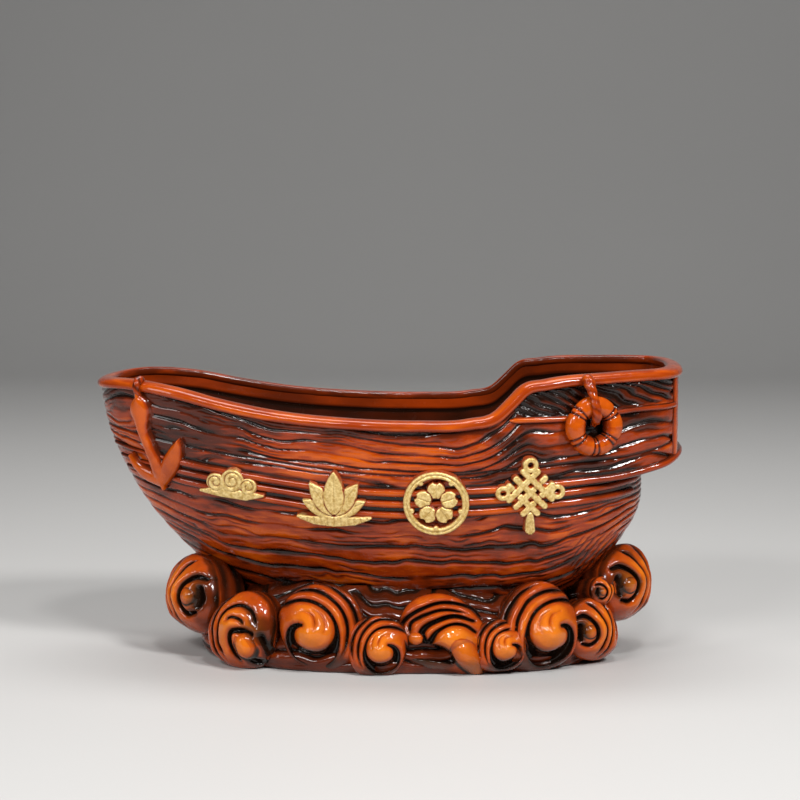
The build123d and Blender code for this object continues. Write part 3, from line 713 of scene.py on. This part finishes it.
def lotus_height(x, z):
    """Open lotus over a low bank of leaves."""
    foot_x, foot_z = -30.0, 79.5
    d = np.full(x.shape, 1e3)
    cuts = np.zeros(x.shape)
    for lean, length, width in ((64, 17.5, 4.1), (-64, 17.5, 4.1), (36, 20.5, 4.7),
                                (-36, 20.5, 4.7), (0, 22.5, 5.4)):
        a = math.radians(lean)
        u = (x - foot_x) * math.cos(a) + (z - foot_z) * math.sin(a)
        v = -(x - foot_x) * math.sin(a) + (z - foot_z) * math.cos(a)
        edge = width * np.sin(np.pi * np.clip(v / length, 0, 1) ** 0.82) ** 0.75
        own = np.maximum(np.abs(u) - edge, np.maximum(v - length, -v)) * 0.85
        cuts = np.where(own < 0, 0.0, cuts)
        cuts = np.maximum(cuts, bell(own + 0.15, 0.42) * (d < 0.4))
        cuts = np.maximum(cuts, 0.55 * bell(u, 0.30) * (own < -1.2))
        d = np.minimum(d, own)
    bank, _ = distance_to_stroke(x, z, [(-48.0, 78.6, 0.9), (-40.0, 76.8, 2.4), (-30.0, 76.3, 2.9),
                                        (-20.0, 76.8, 2.4), (-12.0, 78.6, 0.9)])
    vein = groove((x - foot_x) / 3.3, 3.3, 0.34) * (bank < -0.8)
    cuts = np.where(bank < 0, 0.6 * vein, cuts)
    return finish_gilt(x, z, np.minimum(d, bank), cuts)


def roundel_height(x, z):
    """Five-petalled flower inside a ring."""
    cx, cz, ring = 20.0, 86.5, 14.3
    from_middle = np.hypot(x - cx, z - cz)
    d = ring_distance(x, z, cx, cz, ring, 1.9)
    cuts = 0.7 * bell(from_middle - ring, 0.34)
    for k in range(5):
        a = math.radians(90 + 72 * k)
        ca, sa = math.cos(a), math.sin(a)
        own = np.hypot(x - cx - 6.6 * ca, z - cz - 6.6 * sa) - 4.5
        notch = np.hypot(x - cx - 11.6 * ca, z - cz - 11.6 * sa) - 1.5
        own = np.maximum(own, -notch)
        rib = bell((x - cx) * sa - (z - cz) * ca, 0.32) * (own < -0.8)
        rim = bell(own + 0.1, 0.4) * (d < 0.3)
        cuts = np.maximum(np.where(own < 0, 0.0, cuts), np.maximum(0.6 * rib, rim))
        d = np.minimum(d, own)
        bx, bz = cx + 12.6 * math.cos(a + 0.63), cz + 12.6 * math.sin(a + 0.63)
        d = np.minimum(d, np.hypot(x - bx, z - bz) - 1.5)
    cuts = np.maximum(cuts * (from_middle > 2.8), bell(from_middle - 2.6, 0.4))
    return finish_gilt(x, z, d, cuts)


def knot_height(x, z):
    """Knot of plaited cord with loops and a tassel."""
    cx, cz, half, gap = 65.5, 91.5, 9.8, 5.0
    d = np.full(x.shape, 1e3)
    cuts = np.zeros(x.shape)
    for shift in (-gap, 0.0, gap):
        for hand in (1, -1):
            ca, sa = math.cos(math.pi / 4), math.sin(math.pi / 4) * hand
            ox, oz = cx - sa * shift, cz + ca * shift
            own, _ = distance_to_stroke(x, z, [(ox - ca * half, oz - sa * half, 1.75),
                                               (ox + ca * half, oz + sa * half, 1.75)])
            along = (x - ox) * ca + (z - oz) * sa
            over = np.sign(np.sin(np.pi * (along / gap + (0.5 if hand > 0 else 1.5) + shift / gap)))
            cuts = np.where((own < 0) & (over > 0), 0.0, cuts)
            cuts = np.maximum(cuts, bell(own - 0.05, 0.42) * (over > 0) * (d < 0.3))
            d = np.minimum(d, own)
    for lx, lz in ((0, 13.6), (-13.2, 0), (13.2, 0)):
        d = np.minimum(d, ring_distance(x, z, cx + lx, cz + lz, 2.6, 1.35))
    tassel, _ = distance_to_stroke(x, z, [(cx, cz - 11.5, 1.8), (cx, cz - 14.0, 2.2), (cx, cz - 19.0, 2.7)])
    thread = groove((x - cx) / 1.3, 1.3, 0.26) * (z < cz - 14.5)
    cuts = np.where(tassel < 0, 0.7 * thread * (tassel < -0.3), cuts)
    return finish_gilt(x, z, np.minimum(d, tassel), cuts)


# ---- lifebuoy and lanyard
def buoy_frame(side):
    """Centre and axes (along the hull, up, outwards) of a lifebuoy."""
    y = skin(q_of_x(BUOY_X, BUOY_Z), BUOY_Z, side)[..., 1]
    out = np.array([math.sin(BUOY_TURN), side * math.cos(BUOY_TURN), 0.0])
    along = np.array([math.cos(BUOY_TURN), -side * math.sin(BUOY_TURN), 0.0])
    centre = np.array([BUOY_X, float(y), BUOY_Z]) + out * 3.6
    return centre, along, np.array([0.0, 0.0, 1.0]), out


def turned(angle):
    """An angle brought between minus and plus half a turn."""
    return (angle + np.pi) % (2 * np.pi) - np.pi


def build_buoy(side):
    """Plump ring bound in five places by pairs of cord turns."""
    centre, along, up, out = buoy_frame(side)
    around, tube = int(170 / FINE), 44
    u = circle(around)[:, None]
    v = circle(tube)[None, :]
    pinch = np.zeros_like(u)
    cord = np.zeros_like(u)
    for degrees in (214, 270, 322, 36, 142):
        arc = turned(u - math.radians(degrees)) * BUOY_RING
        pinch = np.maximum(pinch, bell(arc, 3.4))
        for shift in (-1.1, 1.1):
            cord = np.maximum(cord, bell(arc - shift, 0.42))
    r = BUOY_TUBE * (1.04 - 0.13 * pinch) - 0.62 * cord + 0.10 * cloudy(u * 5, v * 2, 101, 2)
    ring = BUOY_RING + r * np.cos(v)
    p = (centre + along * (ring * np.cos(u))[..., None] + up * (ring * np.sin(u))[..., None]
         + out * (r * np.sin(v))[..., None])
    # painted shade on the side of the tube facing the hole and on its back against the hull
    wash_and_shade = (0.10 + 0.75 * cord + 0.35 * smooth(0.3, 1.0, -np.cos(v)) + 0.45 * smooth(0.1, -0.6, np.sin(v))
            + 0.14 * cloudy(u * 4, v, 103, 3))
    make_mesh(sided("lifebuoy", side), p, grid_faces(around, tube, True, True, side == PORT), wash_and_shade,
              smooth_glaze)


def build_cord(node, path, radii, wash_value, name=None):
    """Twisted cord along a path, closed at both ends."""
    path = np.array(path, float)
    knots, fine = np.linspace(0, 1, len(path)), np.linspace(0, 1, int(70 / FINE))
    p = np.stack([curve(list(zip(knots, path[:, k])))(fine) for k in range(3)], -1)
    r = curve(list(zip(knots, radii)))(fine)
    tangent = unit(np.gradient(p, axis=0))
    across = unit(np.cross(tangent, [1.0, 0.02, 0.1]))
    other = np.cross(tangent, across)
    turns = 24
    phi = circle(turns)
    s = distance_along(p)
    lay = np.sin(2 * phi[None, :] + 1.5 * s[:, None])
    ends = np.sin(np.pi * np.clip(fine, 0.02, 0.98))[:, None] ** 0.18
    rr = r[:, None] * (1 + 0.07 * lay) * ends
    rr[0], rr[-1] = 0.02, 0.02
    points = (p[:, None, :] + across[:, None, :] * (rr * np.cos(phi))[..., None]
              + other[:, None, :] * (rr * np.sin(phi))[..., None])
    wash_and_shade = wash_value + 0.22 * smooth(0.2, -0.9, lay) + 0.14 * cloudy(s[:, None] / 3, phi, 107, 2)
    make_mesh(node, points, grid_faces(len(p), turns, wrap_cols=True), wash_and_shade, smooth_glaze, name=name)


def build_lanyard(side):
    """Cord from a knob on the gunwale, over the ring and down into its hole."""
    centre, along, up, out = buoy_frame(side)
    head = 23.4 if side == PORT else 21.2
    stops = ((-3.4, head, -4.2), (-3.4, head, -0.4), (-3.2, head - 2.4, 1.8), (-2.4, 16.0, 4.2),
             (-1.4, 9.5, 5.9), (-0.6, 4.8, 5.0), (0.0, 1.8, 0.8), (0.0, 0.6, -3.0))
    build_cord(sided("lanyard", side), [centre + along * a + up * b + out * c for a, b, c in stops],
               [2.6, 3.2, 2.9, 2.2, 2.3, 2.4, 2.1, 1.6], 0.20)


# ---- corner posts
POST_Q, POST_HALF = 0.969, 0.012        # middle and half width of a post, in q


def build_post(side):
    """Half-round strip up the corner of the transom."""
    rows = np.linspace(105.5, 145.0, int(60 / FINE))
    spread = np.linspace(-POST_HALF, POST_HALF, 13)
    q = POST_Q + spread[None, :] + 0 * rows[:, None]
    z = rows[:, None] + 0 * spread[None, :]
    out = 1.9 * np.sqrt(np.clip(1.15 - (spread / POST_HALF) ** 2, 0, 1))[None, :] - 0.75
    out = out + 0.16 * cloudy(z / 5, q * 90, 111, 2)
    p = off_skin(q, z, side, out)
    wash_and_shade = (0.20 + 0.42 * smooth(0.6, 1.0, np.abs(spread) / POST_HALF)[None, :]
            + 0.2 * cloudy(z / 9, q * 60, 113, 3))
    make_mesh(sided("corner_post", side), p, grid_faces(*q.shape, flip=side == STARBOARD), wash_and_shade,
              smooth_glaze)


build_hull("hull_shell_outside", body_glaze, 0.0, 0.62 * FINE, HULL_BOTTOM_Z, True)
build_hull("hull_shell_inside", smooth_glaze, -WALL, 1.3 * FINE, FLOOR_Z, False)
build_gunwale()
for side in (PORT, STARBOARD):
    build_strip("upper_rub_rail", upper_rail, -146.0, 150.0, 2.0, 2.3, side, False, True)
    build_strip("middle_rub_rail", middle_rail, -143.0, 120.5, 1.9, 2.1, side, True)
    build_strip("lower_rub_rail", lower_rail, -140.0, 118.5, 1.9, 2.1, side, True)
    build_strip("quarter_rail", quarter_rail, 55.5, 139.0, 1.5, 1.9, side, False)
    build_relief(sided("anchor", side), smooth_glaze, (-138.0, -103.0, 85.0, 143.5), anchor_height,
                 side, 0.32 * FINE)
    if side == PORT:
        build_anchor_cord()
    build_buoy(side)
    build_lanyard(side)
    build_post(side)
for node, box, height in (("cloud_ornament", (-99.5, -63.5, 83.0, 103.0), cloud_height),
                          ("lotus_ornament", (-51.0, -9.0, 70.5, 104.0), lotus_height),
                          ("roundel_ornament", (2.0, 38.0, 68.5, 104.5), roundel_height),
                          ("knot_ornament", (46.0, 85.0, 69.0, 111.5), knot_height)):
    build_relief(node, gilding, box, height, PORT, 0.30 * FINE)


# ---- wave base
BASE_X, BASE_LENGTH, BASE_WIDTH, BASE_SQUARENESS = 3.0, 106.0, 66.0, 2.25
# (share of the outline's reach, height) from the hollow underneath, over the foot, to the hull
BASE_PROFILE = ((0.0, 7.0), (0.80, 7.0), (0.83, 0.0), (0.90, 0.0), (0.955, 0.0), (0.985, 0.9), (1.0, 3.6),
                (0.995, 8.5), (0.955, 15.0), (0.90, 22.0), (0.83, 29.0), (0.75, 35.0), (0.64, 40.0))


def build_base():
    """Low bank of water with ropes of current running round it, hollowed underneath."""
    cols = int(900 / FINE)
    theta = circle(cols)
    steps = np.linspace(0, len(BASE_PROFILE) - 1, int(150 / FINE))
    share = curve([(k, r) for k, (r, _) in enumerate(BASE_PROFILE)])(steps)
    height = np.maximum(curve([(k, z) for k, (_, z) in enumerate(BASE_PROFILE)])(steps), 0)
    c, s = np.cos(theta), np.sin(theta)
    reach = (np.abs(c / BASE_LENGTH) ** BASE_SQUARENESS
             + np.abs(s / BASE_WIDTH) ** BASE_SQUARENESS) ** (-1 / BASE_SQUARENESS)
    girth = np.concatenate([[0], np.cumsum(np.hypot(np.diff(reach * c), np.diff(reach * s)))])
    z = height[:, None] + 0 * theta
    loop_c, loop_s = 2.2 * c, 2.2 * s
    swell = cloudy(loop_c[None, :] * 1.5 + z / 60, loop_s[None, :] * 1.5, 201, 2)
    strand = np.abs(np.sin(np.pi * (z / 6.2 + 1.9 * swell))) ** 0.6
    outside = smooth(2.0, 6.0, z) * (np.arange(len(steps))[:, None] > len(steps) * 0.42)
    bulge = 2.8 * (strand - 0.75) * outside + 2.2 * cloudy(loop_c * 3.1, loop_s * 3.1, 205, 2)[None, :]
    bulge = bulge * smooth(0.8, 0.97, np.maximum(share, height > 6))[:, None]
    radius = reach[None, :] * share[:, None] + bulge
    wash_and_shade = 0.50 + 0.40 * smooth(0.80, 0.30, strand) * outside
    wash_and_shade = wash_and_shade + 0.16 * cloudy((girth[None, :] + 0 * z) / 19, z / 9, 207, 3)
    wash_and_shade = wash_and_shade + 0.20 * smooth(12, 26, z) + 0.12 * smooth(9, 3, z) * (z > 0.1)
    p = keep_out_of_bowl(np.stack([BASE_X + radius * c, radius * s, z], -1))
    make_mesh("wave_base", p, grid_faces(len(steps), cols, wrap_cols=True), wash_and_shade, wave_glaze)


def arc_line(eye, *points):
    """Line through (degrees, radius, half width) points about an eye, as (u, v, half width) points."""
    angles = np.linspace(points[0][0], points[-1][0], 44)
    r = curve([(p[0], p[1]) for p in points])(angles)
    half = np.maximum(curve([(p[0], p[2]) for p in points])(angles), 0.001)
    turn = np.radians(angles)
    return np.stack([eye[0] + r * np.cos(turn), eye[1] + r * np.sin(turn), half], -1)


# Looks of a curl in its own face, in shares of its radius: dark lines and hollows between the
# ropes of water, the rounded tip (u, v, size, height) with its painted highlight, loose drops drawn as
# short thick strokes, a shaded part (u, v, size, darkness), and the directions in degrees where its foot
# spreads.
EYE = (-0.18, -0.10)
BOTH_FEET = (-52.0, -128.0)
ROLLER = {
    "lines": [
        arc_line(EYE, (148, 0.27, 0.02), (170, 0.42, 0.06), (205, 0.53, 0.105), (258, 0.57, 0.15),
                 (305, 0.63, 0.14), (340, 0.58, 0.06), (375, 0.55, 0.020), (415, 0.59, 0.016),
                 (450, 0.67, 0.016), (480, 0.80, 0.014), (506, 0.95, 0.006)),
        arc_line(EYE, (-40, 0.86, 0.004), (0, 0.79, 0.012), (41, 0.82, 0.014), (88, 0.92, 0.012),
                 (128, 1.02, 0.004)),
        arc_line(EYE, (-18, 1.02, 0.004), (12, 1.02, 0.012), (46, 1.05, 0.012), (84, 1.10, 0.004)),
        arc_line(EYE, (158, 0.80, 0.004), (195, 0.83, 0.014), (232, 0.86, 0.010), (262, 0.90, 0.004)),
        free_line((-0.42, 0.36, 0.001), (-0.20, 0.30, 0.005), (-0.09, 0.12, 0.006), (-0.10, -0.04, 0.001)),
        free_line((-0.14, 0.42, 0.001), (0.04, 0.30, 0.004), (0.14, 0.10, 0.004), (0.12, -0.08, 0.001)),
    ],
    "tip": (-0.15, -0.12, 0.44, 0.30), "drops": [], "shade": (0.10, -0.85, 0.50, 0.30),
}
SIDED = {
    "lines": [
        free_line((-0.30, 0.92, 0.004), (-0.46, 0.62, 0.016), (-0.54, 0.20, 0.020), (-0.50, -0.24, 0.018),
                  (-0.32, -0.62, 0.012), (-0.12, -0.90, 0.004)),
        free_line((0.24, 0.86, 0.004), (-0.02, 0.62, 0.016), (-0.21, 0.22, 0.020), (-0.22, -0.20, 0.018),
                  (-0.08, -0.56, 0.012), (0.10, -0.80, 0.004)),
        free_line((0.72, 0.44, 0.020), (0.48, 0.46, 0.045), (0.22, 0.28, 0.050), (0.10, 0.00, 0.050),
                  (0.16, -0.30, 0.045), (0.38, -0.46, 0.040), (0.62, -0.40, 0.015)),
        free_line((0.66, 0.18, 0.060), (0.72, -0.06, 0.085), (0.66, -0.26, 0.040)),
        free_line((-0.72, 0.42, 0.004), (-0.80, 0.05, 0.012), (-0.72, -0.40, 0.004)),
    ],
    "tip": (-0.10, 0.00, 0.50, 0.12), "drops": [free_line((0.38, -0.04, 0.21), (0.39, -0.06, 0.20))],
    "shade": (0.62, 0.05, 0.42, 0.55),
}
BREAKER = {
    "lines": [
        free_line((-0.30, -0.20, 0.06), (-0.37, 0.06, 0.05), (-0.16, 0.30, 0.038), (0.28, 0.45, 0.034),
                  (0.72, 0.34, 0.008)),
        free_line((-0.88, -0.10, 0.006), (-0.78, 0.30, 0.022), (-0.42, 0.62, 0.020), (0.12, 0.78, 0.020),
                  (0.58, 0.68, 0.016), (0.92, 0.36, 0.006)),
        free_line((-0.62, -0.02, 0.004), (-0.60, 0.28, 0.014), (-0.28, 0.50, 0.014), (0.16, 0.60, 0.012),
                  (0.60, 0.52, 0.004)),
        free_line((-0.20, -0.16, 0.05), (-0.04, 0.10, 0.022), (0.24, 0.25, 0.018), (0.56, 0.22, 0.016),
                  (0.84, 0.02, 0.006)),
        free_line((-0.98, -0.42, 0.10), (-0.52, -0.40, 0.19), (0.00, -0.46, 0.18), (0.26, -0.60, 0.08)),
        free_line((0.28, -0.44, 0.030), (0.50, -0.30, 0.014), (0.82, -0.28, 0.004)),
    ],
    "tip": (0.34, -0.10, 0.44, 0.20), "drops": [
        free_line((-0.50, -0.10, 0.16), (-0.505, -0.125, 0.16)),
        free_line((0.52, -0.36, 0.27), (0.62, -0.58, 0.25), (0.76, -0.84, 0.17), (0.84, -1.00, 0.10)),
    ],
    "shade": (-0.30, -0.60, 0.55, 0.45), "feet": (-48.0,),
}
DOUBLE = {
    "lines": [
        free_line((0.52, -0.06, 0.05), (0.28, 0.02, 0.06), (0.02, -0.02, 0.05), (-0.06, -0.24, 0.05),
                  (0.02, -0.50, 0.035), (0.16, -0.70, 0.010)),
        free_line((0.66, 0.16, 0.004), (0.46, 0.50, 0.016), (0.08, 0.64, 0.020), (-0.30, 0.50, 0.020),
                  (-0.52, 0.14, 0.018), (-0.50, -0.32, 0.014), (-0.26, -0.74, 0.004)),
        free_line((-0.20, 0.96, 0.004), (-0.58, 0.62, 0.014), (-0.78, 0.10, 0.016), (-0.68, -0.44, 0.012),
                  (-0.42, -0.84, 0.004)),
        free_line((-0.24, 0.22, 0.004), (-0.04, 0.34, 0.014), (0.20, 0.30, 0.014), (0.34, 0.16, 0.004)),
        free_line((0.40, -0.56, 0.050), (0.52, -0.70, 0.070), (0.76, -0.70, 0.030)),
        free_line((0.78, -0.10, 0.05), (0.86, -0.36, 0.05), (0.84, -0.60, 0.02)),
    ],
    "tip": (-0.02, 0.14, 0.46, 0.18), "drops": [free_line((0.38, -0.30, 0.28), (0.42, -0.40, 0.28))],
    "shade": (0.70, 0.10, 0.40, 0.50),
}


def mirrored(looks):
    """The same curl turning the other way."""
    flip = np.array([-1.0, 1.0, 1.0])
    tip, shade = looks["tip"], looks["shade"]
    return {"lines": [line * flip for line in looks["lines"]], "tip": (-tip[0], *tip[1:]),
            "drops": [drop * flip for drop in looks["drops"]], "shade": (-shade[0], *shade[1:]),
            "feet": tuple(-180.0 - angle for angle in looks.get("feet", BOTH_FEET))}


def carve_lines(u, v, lines):
    """Distance from the edges of the dark lines of a curl's face, and the depth cut into it."""
    edge = np.full(u.shape, 9.0)
    trough = np.zeros_like(u)
    for line in lines:
        for half, off_u, off_v in along_stroke(u, v, line):
            apart = np.hypot(off_u, off_v)
            edge = np.minimum(edge, apart - half + 0.075 * smooth(0.010, 0.001, half))
            hollow = np.sqrt(np.clip(1 - (apart / (half + 1e-3)) ** 2, 0, 1))
            trough = np.maximum(trough, 1.9 * half * hollow)
    return edge, trough


def nearest_in_drop(u, v, line):
    """Distance from a drop's middle line in half widths, that half width, and how far above."""
    near = np.full(u.shape, 9.0)
    half = np.ones(u.shape)
    above = np.zeros_like(u)
    for here, off_u, off_v in along_stroke(u, v, line):
        ratio = np.hypot(off_u, off_v) / here
        nearer = ratio < near
        above = np.where(nearer, off_v / here, above)
        near, half = np.where(nearer, ratio, near), np.where(nearer, here, half)
    return near, half, above


def curl_face(looks, outline, phi, seed):
    """Domed face of a curl in shares of its radius: u, v, height, brown wash with painted shade, and
    painted highlight.
    """
    a = np.linspace(0, 1, int(104 / FINE))[:, None]
    rho = outline * np.sin(a * np.pi / 2)
    dome = 0.56 * np.cos(a * np.pi / 2) ** 0.9
    u, v = rho * np.cos(phi), rho * np.sin(phi)
    wu = u + 0.045 * cloudy(u * 1.3 + seed, v * 1.3, 301 + seed, 2)
    wv = v + 0.045 * cloudy(u * 1.3, v * 1.3 + seed, 311 + seed, 2)
    edge, trough = carve_lines(wu, wv, looks["lines"])
    shoulder = np.clip(edge / 0.15, 0, 1)
    rounding = 1 - np.sqrt(1 - (1 - shoulder) ** 2)
    tip_u, tip_v, tip_size, tall = looks["tip"]
    tip = np.exp(-((np.hypot(u - tip_u, v - tip_v) / tip_size) ** 2) * 1.3)
    h = dome + tall * tip - 0.135 * rounding - np.minimum(trough, 0.34)
    wash_and_shade = 0.06 + 0.85 * smooth(0.024, -0.006, edge) + 0.50 * (1 - shoulder) ** 2.2
    # painted highlight: a lighter orange on the tip and the middle of the face
    painted_highlight = 0.46 * tip * shoulder + 0.14 * shoulder * smooth(1.05, 0.4, rho)
    for line in looks["drops"]:
        near, half, above = nearest_in_drop(wu, wv, line)
        drop = np.sqrt(np.clip(1 - near ** 2, 0, 1))
        h = np.where(near < 1, np.maximum(h, dome * 0.75 + 0.05 + half * 0.85 * drop), h)
        # painted shadow in a band just under each drop
        shadow_under_drop = bell(near - 1.02, 0.13) * smooth(0.5, -0.3, above)
        wash_and_shade = np.maximum(np.where(near < 1, 0.06 + 0.45 * (1 - drop) ** 2, wash_and_shade), 0.9 * shadow_under_drop)
        # painted highlight on the middle of each drop, taken away in the painted shadow under it
        painted_highlight = np.where(near < 1, 0.36 * drop ** 2, painted_highlight * (1 - shadow_under_drop))
    h = h - 0.20 * smooth(-0.60, -1.0, v) + 0.020 * cloudy(u * 4.0, v * 4.0, 321 + seed, 3)
    # darker round the lower rim of the face and towards its bottom
    wash_and_shade = wash_and_shade + 0.40 * smooth(0.74, 1.0, a) * smooth(-0.7, -0.1, v)
    wash_and_shade = wash_and_shade + 0.18 * cloudy(u * 2.6, v * 2.6, 331 + seed, 3)
    wash_and_shade = wash_and_shade + 0.12 * smooth(-0.35, -0.95, v) + 0.24 * smooth(0.35, 0.95, rho)
    shade_u, shade_v, shade_size, dark = looks["shade"]
    wash_and_shade = wash_and_shade + dark * bell(np.hypot(u - shade_u, v - shade_v), shade_size) * (h < dome + 0.14)
    return u, v, h, wash_and_shade, np.clip(painted_highlight, 0, 1)


def curl_sides(outline, phi, rim_height, radius, seed):
    """Sides of a curl from the rim of its face to its back: u, v, height, and how dark each point is,
    darker towards the back.
    """
    back = np.linspace(0, 1, 17)[1:, None]
    wander = cloudy(np.cos(phi) * 2, np.sin(phi) * 2, 351 + seed, 1)
    ribs = 0.018 * np.cos(4.0 * np.pi * back + 1.5 * wander)
    rho = outline * (1 + 0.05 * np.sin(np.pi * back)) * (1 - 0.16 * back) + ribs * np.sin(np.pi * back)
    h = rim_height * (1 - back) - (CURL_DEPTH / radius) * back
    wash_and_shade = 0.56 + 0.40 * back - 9.0 * ribs + 0.12 * cloudy(phi * 2 + 0 * back, back * 3, 361 + seed, 2)
    return rho * np.cos(phi), rho * np.sin(phi), h, wash_and_shade


CURL_LEAN = math.radians(11.0)      # curls lean back against the hull
CURL_DEPTH = 19.0


def build_curl(node, looks, x, y, facing, z, radius, tail, squash, seed, name=None):
    """One curl: a domed face of water ropes parted by dark lines, its rounded tip, and its sides."""
    turn = math.radians(facing)
    flat = np.array([math.cos(turn), math.sin(turn), 0.0])
    along = np.array([-math.sin(turn), math.cos(turn), 0.0])
    out = flat * math.cos(CURL_LEAN) + np.array([0, 0, math.sin(CURL_LEAN)])
    up = np.cross(out, along)
    up = up * np.sign(up[2])
    phi = circle(int(280 / FINE))[None, :]
    outline = 1 + 0.045 * np.cos(2 * phi + seed) + 0.03 * np.cos(3 * phi + 2 * seed)
    for place in looks.get("feet", BOTH_FEET):
        outline = outline * (1 + tail * bell(turned(phi - math.radians(place)), 0.42))
    face = curl_face(looks, outline, phi, seed)
    sides = curl_sides(outline, phi, face[2][-1:], radius, seed)
    u, v, h, wash_and_shade = (np.concatenate(pair) for pair in zip(face, sides))
    painted_highlight = np.concatenate([face[4], np.zeros_like(sides[0])])
    centre = np.array([x, y, z]) - out * 0.10 * radius
    p = centre + radius * (along * u[..., None] + up * squash * v[..., None] + out * h[..., None])
    p[..., 2] = np.maximum(p[..., 2], 0.3)
    make_mesh(node, keep_out_of_bowl(p), grid_faces(*u.shape, wrap_cols=True, flip=True), wash_and_shade,
              wave_glaze, painted_highlight, name)


build_base()
# name, looks, x, y, facing, height of the middle, radius, spread at the foot, height over breadth
CURLS = [
    ("bow_curl", SIDED, -107.0, 6.0, 183.0, 30.0, 20.0, 0.0, 1.0),
    ("bow_curl_port", SIDED, -105.5, -24.0, 220.0, 32.0, 20.5, 0.0, 1.0),
    ("forward_roller_port", ROLLER, -36.8, -58.0, 266.0, 22.0, 22.0, 0.06, 1.0),
    ("midship_crest_port", BREAKER, 22.0, -58.5, 268.0, 19.0, 23.0, 0.42, 0.86),
    ("aft_roller_port", mirrored(ROLLER), 70.5, -53.0, 286.0, 21.8, 21.8, 0.06, 1.0),
    ("stern_curl_port", mirrored(SIDED), 116.0, -18.5, 320.0, 38.5, 19.5, 0.0, 1.0),
    ("stern_curl", mirrored(SIDED), 116.0, 14.0, 12.0, 32.0, 19.5, 0.0, 1.0),
    ("bow_curl_starboard", mirrored(SIDED), -90.0, 36.0, 145.0, 27.0, 19.5, 0.0, 1.0),
    ("forward_roller_starboard", mirrored(ROLLER), -37.0, 58.0, 95.0, 22.5, 21.5, 0.06, 1.0),
    ("midship_crest_starboard", mirrored(BREAKER), 21.0, 59.0, 90.0, 19.5, 22.0, 0.40, 0.88),
    ("aft_roller_starboard", ROLLER, 73.0, 50.0, 66.0, 24.0, 21.0, 0.08, 1.0),
    ("bow_ripple_port", DOUBLE, -77.5, -51.5, 242.0, 19.0, 19.0, 0.03, 1.04),
    ("forward_ripple_port", mirrored(ROLLER), -9.0, -65.0, 268.0, 14.5, 14.8, 0.06, 1.08),
    ("aft_ripple_port", mirrored(ROLLER), 51.5, -62.5, 280.0, 14.6, 13.6, 0.06, 1.0),
    ("stern_ripple_port", mirrored(SIDED), 98.0, -38.5, 306.0, 18.0, 16.0, 0.04, 1.0),
    ("bow_ripple_starboard", mirrored(DOUBLE), -67.0, 57.0, 118.0, 17.5, 17.0, 0.03, 1.0),
    ("forward_ripple_starboard", ROLLER, -8.0, 65.0, 90.0, 14.5, 14.0, 0.08, 1.0),
    ("aft_ripple_starboard", ROLLER, 47.5, 63.0, 78.0, 14.5, 13.5, 0.08, 1.0),
    ("stern_ripple_starboard", SIDED, 98.0, 37.0, 48.0, 18.5, 17.0, 0.06, 1.0),
]
for count, curl in enumerate(CURLS):
    build_curl(*curl, seed=count)
# a small one tucked in before the stern, part of the stern curl
build_curl("stern_curl_port", mirrored(SIDED), 104.0, -33.0, 305.0, 36.5, 8.0, 0.0, 1.0, 31,
           "stern_curl_port_inner_visual")


# ---- stage, light and camera, in metres in the frame's own axes
def stage_material():
    """Pale stage surface with a faint unevenness."""
    material, tree, shader, place = new_material("pale_stage")
    pale = (0.56, 0.55, 0.535)
    colour = ramp(tree, noise(tree, place, 3.0, 5.0), [(0.0, [c * 0.95 for c in pale]), (1.0, pale)])
    feed(tree, shader, Base_Color=colour, Roughness=0.55)
    return material


def build_stage():
    """Pale floor running up into a pale backdrop."""
    half, front, back, tall, bend = 2.6, 0.50, 2.2, 2.6, 0.8
    arc = [(back - bend + bend * math.sin(a), bend - bend * math.cos(a))
           for a in np.linspace(0, np.pi / 2, 24)]
    profile = [(-front, 0.0), *arc, (back, tall)]
    points = [(sx * half, y, z) for y, z in profile for sx in (-1, 1)]
    faces = [(2 * k, 2 * k + 1, 2 * k + 3, 2 * k + 2) for k in range(len(profile) - 1)]
    mesh = bpy.data.meshes.new("floor")
    mesh.from_pydata(points, [], faces)
    mesh.polygons.foreach_set("use_smooth", [True] * len(mesh.polygons))
    mesh.materials.append(stage_material())
    floor = bpy.data.objects.new("floor", mesh)
    bpy.context.scene.collection.objects.link(floor)


def soft_light(name, place, size, power):
    """Rectangular softbox aimed at the middle of the burner."""
    data = bpy.data.lights.new(name, "AREA")
    data.shape = "RECTANGLE"
    data.size, data.size_y = size
    data.energy = power
    lamp = bpy.data.objects.new(name, data)
    lamp.location = place
    lamp.rotation_euler = (Vector((0.0, 0.0, 0.08)) - Vector(place)).to_track_quat("-Z", "Y").to_euler()
    bpy.context.scene.collection.objects.link(lamp)


def light_world():
    """Faint cool light from all round."""
    world = bpy.data.worlds.new("studio")
    world.use_nodes = True
    background = world.node_tree.nodes["Background"]
    background.inputs["Color"].default_value = (0.80, 0.84, 0.90, 1.0)
    background.inputs["Strength"].default_value = 0.06
    bpy.context.scene.world = world
    bpy.context.scene.view_settings.view_transform = "Standard"


def place_camera():
    """Long lens a little forward of the beam, looking slightly down."""
    data = bpy.data.cameras.new("camera")
    data.lens, data.sensor_width, data.clip_end = 100.9, 36.0, 50.0
    camera = bpy.data.objects.new("camera", data)
    camera.location = (0.0459, -1.1493, 0.2575)
    yaw, pitch = math.radians(2.0), math.radians(6.36)
    aim = Vector((-math.sin(yaw) * math.cos(pitch), math.cos(yaw) * math.cos(pitch), -math.sin(pitch)))
    camera.rotation_euler = aim.to_track_quat("-Z", "Y").to_euler()
    bpy.context.scene.collection.objects.link(camera)
    bpy.context.scene.camera = camera


build_stage()
soft_light("key_softbox", (0.75, -0.85, 1.05), (0.26, 0.26), 16.0)
soft_light("front_strip", (-0.45, -0.95, 0.82), (0.42, 0.16), 6.0)
soft_light("small_softbox", (0.20, -0.70, 1.10), (0.14, 0.14), 4.0)
soft_light("fill_softbox", (-1.15, -0.75, 0.60), (0.35, 0.6), 4.5)
soft_light("top_softbox", (0.0, 0.35, 1.35), (0.9, 0.5), 9.0)
light_world()
place_camera()
